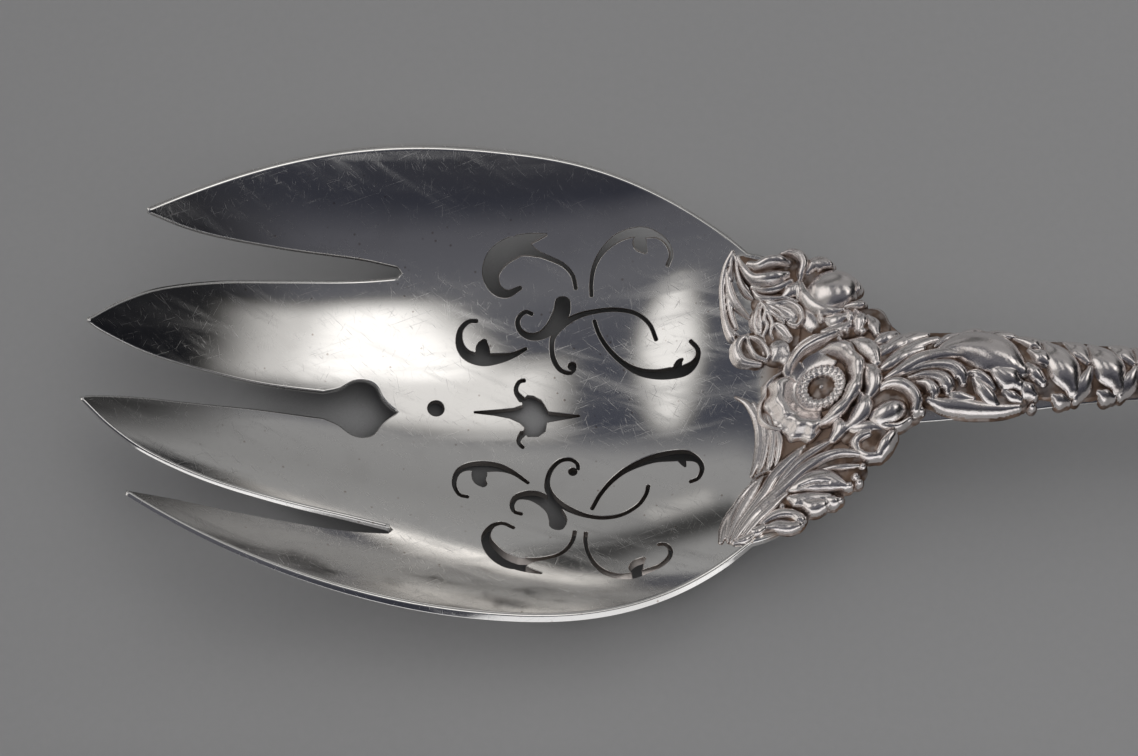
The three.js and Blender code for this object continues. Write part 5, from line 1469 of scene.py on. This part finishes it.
class ForkFinish(bpy.types.PropertyGroup):
    """Colours and polish of the silver"""

    silver: FloatVectorProperty(
        name="Silver", description="Colour of bright silver", default=(0.93, 0.915, 0.895), subtype="COLOR")
    haze: FloatVectorProperty(
        name="Haze", description="Colour of silver dulled by handling", default=(0.74, 0.72, 0.7),
        subtype="COLOR")
    tarnish: FloatVectorProperty(
        name="Tarnish", description="Colour of the tarnish left in recesses", default=(0.32, 0.22, 0.165),
        subtype="COLOR")
    deep_tarnish: FloatVectorProperty(
        name="Deep tarnish", description="Colour of the darkest tarnish", default=(0.15, 0.1, 0.075),
        subtype="COLOR")
    chased_silver: FloatVectorProperty(
        name="Chased silver", description="Colour of the chased work's high spots",
        default=(0.96, 0.905, 0.885), subtype="COLOR")
    polish_roughness: FloatProperty(
        name="Polish", description="Roughness of the polished bowl", default=0.08, subtype="FACTOR")
    chased_roughness: FloatProperty(
        name="Chased polish", description="Roughness of the chased work", default=0.23, subtype="FACTOR")
    wave_height: FloatProperty(
        name="Wave", description="Height of the faint waves that hammering leaves", default=0.00003,
        unit="LENGTH")
    grain_height: FloatProperty(
        name="Grain", description="Height of the grain of the chased work", default=0.00005, unit="LENGTH")
    recess_reach: FloatProperty(
        name="Recess reach", description="How near a wall must be for tarnish to stay", default=0.0012,
        unit="LENGTH")


class StudioSettings(bpy.types.PropertyGroup):
    """The floor, the lights and the camera"""

    floor_colour: FloatVectorProperty(
        name="Floor", description="Colour of the floor", default=(0.47, 0.47, 0.474), subtype="COLOR")
    # The floor's painted shadow under the fork: how near the fork must be, and the floor's brightness there.
    cover_reach: FloatProperty(
        name="Cover reach", description="How near the fork must be to shade the floor", default=0.008,
        unit="LENGTH")
    cover_shade: FloatProperty(
        name="Cover shade", description="Floor's brightness under the fork, as a share", default=0.32,
        subtype="FACTOR")
    lamp_place: FloatVectorProperty(
        name="Lamp", description="Place of the lamp that lights the floor", default=(0.3, 0.0, 0.6),
        subtype="TRANSLATION", unit="LENGTH")
    lamp_size: FloatProperty(name="Lamp size", description="Width of that lamp", default=1.0, unit="LENGTH")
    lamp_power: FloatProperty(name="Lamp power", description="Power of that lamp", default=1.5, unit="POWER")
    strip_place: FloatVectorProperty(
        name="Strip", description="Place of the strip light that the front rim mirrors",
        default=(-0.0525, -0.045, 0.013), subtype="TRANSLATION", unit="LENGTH")
    strip_size: FloatVectorProperty(
        name="Strip size", description="Length and height of that strip", default=(0.145, 0.02), size=2,
        unit="LENGTH")
    strip_power: FloatProperty(
        name="Strip power", description="Power of that strip", default=0.0068, unit="POWER")
    elevation: FloatProperty(
        name="Elevation", description="Camera's height above the horizon", default=math.radians(67.81),
        unit="ROTATION")
    roll: FloatProperty(name="Roll", description="Camera's roll", default=0.0135, unit="ROTATION")
    distance: FloatProperty(
        name="Distance", description="Camera to the middle of the bowl", default=0.36878, unit="LENGTH")
    aim: FloatProperty(
        name="Aim", description="How far behind the bowl's middle the camera aims", default=0.005557,
        unit="LENGTH")
    lens: FloatProperty(
        name="Lens", description="Focal length in millimetres", default=89.37, unit="CAMERA")
    panel_power: FloatProperty(
        name="Panels", description="Strength of the panels of light", default=1.0, subtype="FACTOR")
    panel_colour: FloatVectorProperty(
        name="Panel colour", description="Colour of the panels of light", default=(1, 0.985, 0.965),
        subtype="COLOR")


def settings():
    """The fork's sizes, its finish and the studio."""
    scene = bpy.context.scene
    return scene.fork_sizes, scene.fork_finish, scene.fork_studio


FINISHES = {
    "polished_silver": ("mirror_polish", polished_silver),
    "oxidised_silver": ("chased_satin", oxidised_silver),
}


def silver_for(slot):
    """The finish of a slot, made when it is first asked for."""
    name, make = FINISHES[slot]
    return bpy.data.materials.get(name) or make(settings()[1])


class FORK_OT_bowl(bpy.types.Operator):
    """Saw, raise and polish the bowl"""

    bl_idname = "fork.bowl"
    bl_label = "Bowl"

    def execute(self, context):
        finish_piece(make_bowl(settings()[0]), "bowl", "polished_silver")
        return {"FINISHED"}


class FORK_OT_handle(bpy.types.Operator):
    """Shape and polish the handle's bar"""

    bl_idname = "fork.handle"
    bl_label = "Handle"

    def execute(self, context):
        finish_piece(make_handle(settings()[0]), "handle", "polished_silver")
        return {"FINISHED"}


def dome_form(*row):
    """A form for a casting: an oval dome."""
    return lambda points: oval(points, *row)


def ridge_form(rows, fullness=1.0, power=RIDGE_POWER):
    """A form for a casting: a ridge along rows of [x, y, width, rise]."""
    return lambda points: ridge(points, rows, fullness, power)


def petal_form(middle, row):
    """A form for a casting: one petal of a flower."""
    return lambda points: petal(points, middle, row)


class FORK_OT_flower(bpy.types.Operator):
    """Chase the open flower on the shoulder: petals, stamens and eye"""

    bl_idname = "fork.flower"
    bl_label = "Flower"

    def execute(self, context):
        petals = [petal_form(FLOWER, row) for row in PETALS]
        reach = max(outer for _, _, _, outer, *_ in PETALS)
        chased_round("flower_petals", petals, FLOWER, reach + PETAL_ROOM)
        reach, width, rise = STAMEN_FLOOR
        ring = [(x, y, width, rise) for x, y in circle(FLOWER, reach, STAMEN_FLOOR_POINTS)]
        stamens = [ridge_form(ring + ring[:1], 1, PAD_POWER)]
        for count, reach, radius, rise in STAMEN_RINGS:
            stamens += [dome_form(x, y, radius, radius, 0, rise) for x, y in circle(FLOWER, reach, count)]
        chased_round("flower_stamens", stamens, FLOWER, STAMEN_ROOM)
        boss, disc = (dome_form(*FLOWER, radius, radius, 0, rise) for radius, rise in (EYE_BOSS, EYE))
        chased_round("flower_eye", [boss], FLOWER, EYE_ROOM, [disc])
        return {"FINISHED"}


class FORK_OT_buds(bpy.types.Operator):
    """Chase the bud, the two cups and their sepals"""

    bl_idname = "fork.buds"
    bl_label = "Buds"

    def execute(self, context):
        chased_round("upper_bud", [dome_form(*UPPER_BUD)], UPPER_BUD[:2], UPPER_BUD_ROOM)
        stroke_piece("upper_bud_calyx")
        stroke_piece("cup_bud", [dome_form(*CUP_BUD)])
        stroke_piece("cup_flower", [dome_form(*CUP_FLOWER)])
        return {"FINISHED"}


class FORK_OT_leaves(bpy.types.Operator):
    """Chase the leaves, stems and ribbons of the shoulder"""

    bl_idname = "fork.leaves"
    bl_label = "Leaves and stems"

    def execute(self, context):
        for node in SHOULDER_LEAVES:
            stroke_piece(node)
        return {"FINISHED"}


class FORK_OT_neck(bpy.types.Operator):
    """Chase the long leaf on the neck and the leaves wound along the handle"""

    bl_idname = "fork.neck"
    bl_label = "Neck"

    def execute(self, context):
        stroke_piece("neck_leaf")
        stroke_piece("neck_side_leaf")
        fullness = settings()[0].fullness
        before, after, aside = WOUND_LEAF_ROOM
        for k in range(WOUND_LEAVES):
            x = WOUND_LEAF_START + WOUND_LEAF_PITCH * k
            reach = float(half_width(x + WOUND_LEAF_PITCH / 2))
            ground = [(x + along, 0, share * reach, rise) for along, share, rise in WOUND_GROUND]
            lobes = []
            for rows in WOUND_LOBES:
                lobe = [(x + along, share * reach, width, rise) for along, share, width, rise in rows]
                lobes.append(ridge_form(lobe, fullness))
            low, high = (x + before, -reach - aside), (x + after, reach + aside)
            chased_piece(f"wound_leaf_{k + 1}", lobes, low, high, [ridge_form(ground, 1, PAD_POWER)])
        return {"FINISHED"}


class FORK_OT_handle_end(bpy.types.Operator):
    """Chase the blossom and the leaves on the handle's end"""

    bl_idname = "fork.handle_end"
    bl_label = "Handle end"

    def execute(self, context):
        middle = (HANDLE_END - END_FLOWER_INSET, 0)
        petals = [petal_form(middle, (360 / END_PETALS * k, *END_PETAL)) for k in range(END_PETALS)]
        radius, rise = END_EYE
        eye = dome_form(*middle, radius, radius, 0, rise)
        chased_round("end_flower", petals + [eye], middle, END_FLOWER_ROOM)
        far, near, aside = END_LEAF_ROOM
        for node, side in (("end_leaf_upper", 1), ("end_leaf_lower", -1)):
            forms = []
            for rows in END_LEAF:
                leaf = [(middle[0] - back, side * across, width, rise) for back, across, width, rise in rows]
                forms.append(ridge_form(leaf))
            edges = sorted((0, aside * side))
            chased_piece(node, forms, (middle[0] - far, edges[0]), (middle[0] - near, edges[1]))
        return {"FINISHED"}


def light_panel(tree, heading, panel):
    """A soft-edged panel of light, cut out of all directions by planes."""
    edges, soft, strength = panel
    glow = strength
    for a, b, limit in edges:
        side = tree.vectors("DOT_PRODUCT", heading, (a, b, 0)).outputs["Value"]
        glow = tree.math("MULTIPLY", tree.ramp(side, limit - soft, limit + soft), glow)
    return glow


def scaled(tree, colour, scale):
    """A colour times a value."""
    node = tree.tree.nodes.new("ShaderNodeVectorMath")
    node.operation = "SCALE"
    tree.feed(node.inputs[0], colour)
    tree.feed(node.inputs["Scale"], scale)
    return node.outputs[0]


def room_colours(tree, y):
    """The room's colours from front to back."""
    ramp = tree.tree.nodes.new("ShaderNodeValToRGB")
    tree.feed(ramp.inputs[0], tree.math("ADD", tree.math("MULTIPLY", y, 0.5), 0.5))
    while len(ramp.color_ramp.elements) < len(ROOM):
        ramp.color_ramp.elements.new(0.5)
    for element, (position, colour) in zip(ramp.color_ramp.elements, ROOM):
        element.position = (position + 1) / 2
        element.color = (*colour, 1)
    return ramp.outputs[0]


def make_world(studio):
    """A studio: grey behind the fork, dark blue-grey in front and overhead, soft panels of light above it."""
    world = bpy.data.worlds.new("room")
    world.use_nodes = True
    world.node_tree.nodes.clear()
    tree = NodeTree(world.node_tree)
    heading = tree.add("ShaderNodeTexCoord").outputs["Generated"]
    x, y, z = tree.add("ShaderNodeSeparateXYZ", Vector=heading).outputs
    beam = tree.math("SUBTRACT", 1.0, light_panel(tree, heading, DARK_BEAM))
    room = scaled(tree, room_colours(tree, y), tree.math("MULTIPLY", tree.ramp(x, *SHADED_SIDE), beam))
    glow = tree.largest([light_panel(tree, heading, panel) for panel in PANELS])
    glow = tree.math("MULTIPLY", glow, tree.ramp(z, *HORIZON))
    light = scaled(tree, studio.panel_colour, tree.math("MULTIPLY", glow, studio.panel_power))
    total = tree.vectors("MAXIMUM", room, light).outputs["Vector"]
    background = tree.add("ShaderNodeBackground", Color=total, Strength=1.0)
    tree.surface(background, "ShaderNodeOutputWorld")
    bpy.context.scene.world = world


def lay_floor(studio):
    """The pale floor, on which the fork lies."""
    deselect_all()
    bpy.ops.mesh.primitive_plane_add(size=FLOOR_SIZE)
    floor = bpy.context.object
    floor.name = "floor"
    floor.data.materials.append(floor_paper(studio))


def hang_lamps(studio):
    """A soft lamp that lights the floor, and a strip for the front rim, which shows in reflections only."""
    bpy.ops.object.light_add(type="AREA", location=studio.lamp_place)
    lamp = bpy.context.object
    lamp.name = "floor_lamp"
    lamp.data.size = studio.lamp_size
    lamp.data.energy = studio.lamp_power
    lamp.visible_glossy = False
    bpy.ops.object.light_add(type="AREA", location=studio.strip_place, rotation=(math.pi / 2, 0, 0))
    strip = bpy.context.object
    strip.name = "rim_strip"
    strip.data.shape = "RECTANGLE"
    strip.data.size, strip.data.size_y = studio.strip_size
    strip.data.energy = studio.strip_power
    strip.visible_camera = False
    strip.visible_diffuse = False


def aim_camera(studio):
    """A camera in front of the fork that looks down on the bowl."""
    back = Vector((0, -math.cos(studio.elevation), math.sin(studio.elevation)))
    right = Vector((1, 0, 0))
    up = back.cross(right)
    turned_right = right * math.cos(studio.roll) + up * math.sin(studio.roll)
    turned_up = up * math.cos(studio.roll) - right * math.sin(studio.roll)
    target = Vector((ORIGIN[0] * MM, studio.aim, ORIGIN[2] * MM))
    bpy.ops.object.camera_add()
    camera = bpy.context.object
    camera.name = "camera"
    axes = Matrix((turned_right, turned_up, back)).transposed().to_4x4()
    camera.matrix_world = Matrix.Translation(target + back * studio.distance) @ axes
    camera.data.lens = studio.lens
    camera.data.sensor_width = SENSOR_WIDTH
    camera.data.clip_start = NEAREST_VIEW
    bpy.context.scene.camera = camera
    bpy.context.scene.view_settings.view_transform = "Standard"


class FORK_OT_stage(bpy.types.Operator):
    """Lay the pale floor, hang the soft lights and aim the camera"""

    bl_idname = "fork.stage"
    bl_label = "Stage"

    def execute(self, context):
        studio = settings()[2]
        lay_floor(studio)
        make_world(studio)
        hang_lamps(studio)
        aim_camera(studio)
        return {"FINISHED"}


class FORK_PT_panel(bpy.types.Panel):
    """Lists the fork's settings and its operators"""

    bl_idname = "FORK_PT_panel"
    bl_label = "Salad fork"
    bl_space_type = "VIEW_3D"
    bl_region_type = "UI"
    bl_category = "Fork"

    def draw(self, context):
        for group in settings():
            box = self.layout.box()
            for name in group.bl_rna.properties.keys():
                if name not in ("rna_type", "name"):
                    box.prop(group, name)
        for operator in OPERATORS:
            self.layout.operator(operator.bl_idname)


OPERATORS = (FORK_OT_bowl, FORK_OT_handle, FORK_OT_flower, FORK_OT_buds, FORK_OT_leaves, FORK_OT_neck,
             FORK_OT_handle_end, FORK_OT_stage)
CLASSES = (ForkSizes, ForkFinish, StudioSettings, *OPERATORS, FORK_PT_panel)


def register():
    """Make the operators, the panel and the settings known to Blender."""
    for cls in CLASSES:
        bpy.utils.register_class(cls)
    bpy.types.Scene.fork_sizes = PointerProperty(type=ForkSizes)
    bpy.types.Scene.fork_finish = PointerProperty(type=ForkFinish)
    bpy.types.Scene.fork_studio = PointerProperty(type=StudioSettings)


def unregister():
    """Take them away again."""
    for name in ("fork_sizes", "fork_finish", "fork_studio"):
        delattr(bpy.types.Scene, name)
    for cls in reversed(CLASSES):
        bpy.utils.unregister_class(cls)


def main():
    """Build every piece and the stage."""
    register()
    bpy.ops.fork.bowl()
    bpy.ops.fork.handle()
    bpy.ops.fork.flower()
    bpy.ops.fork.buds()
    bpy.ops.fork.leaves()
    bpy.ops.fork.neck()
    bpy.ops.fork.handle_end()
    bpy.ops.fork.stage()


if __name__ == "__main__":
    main()
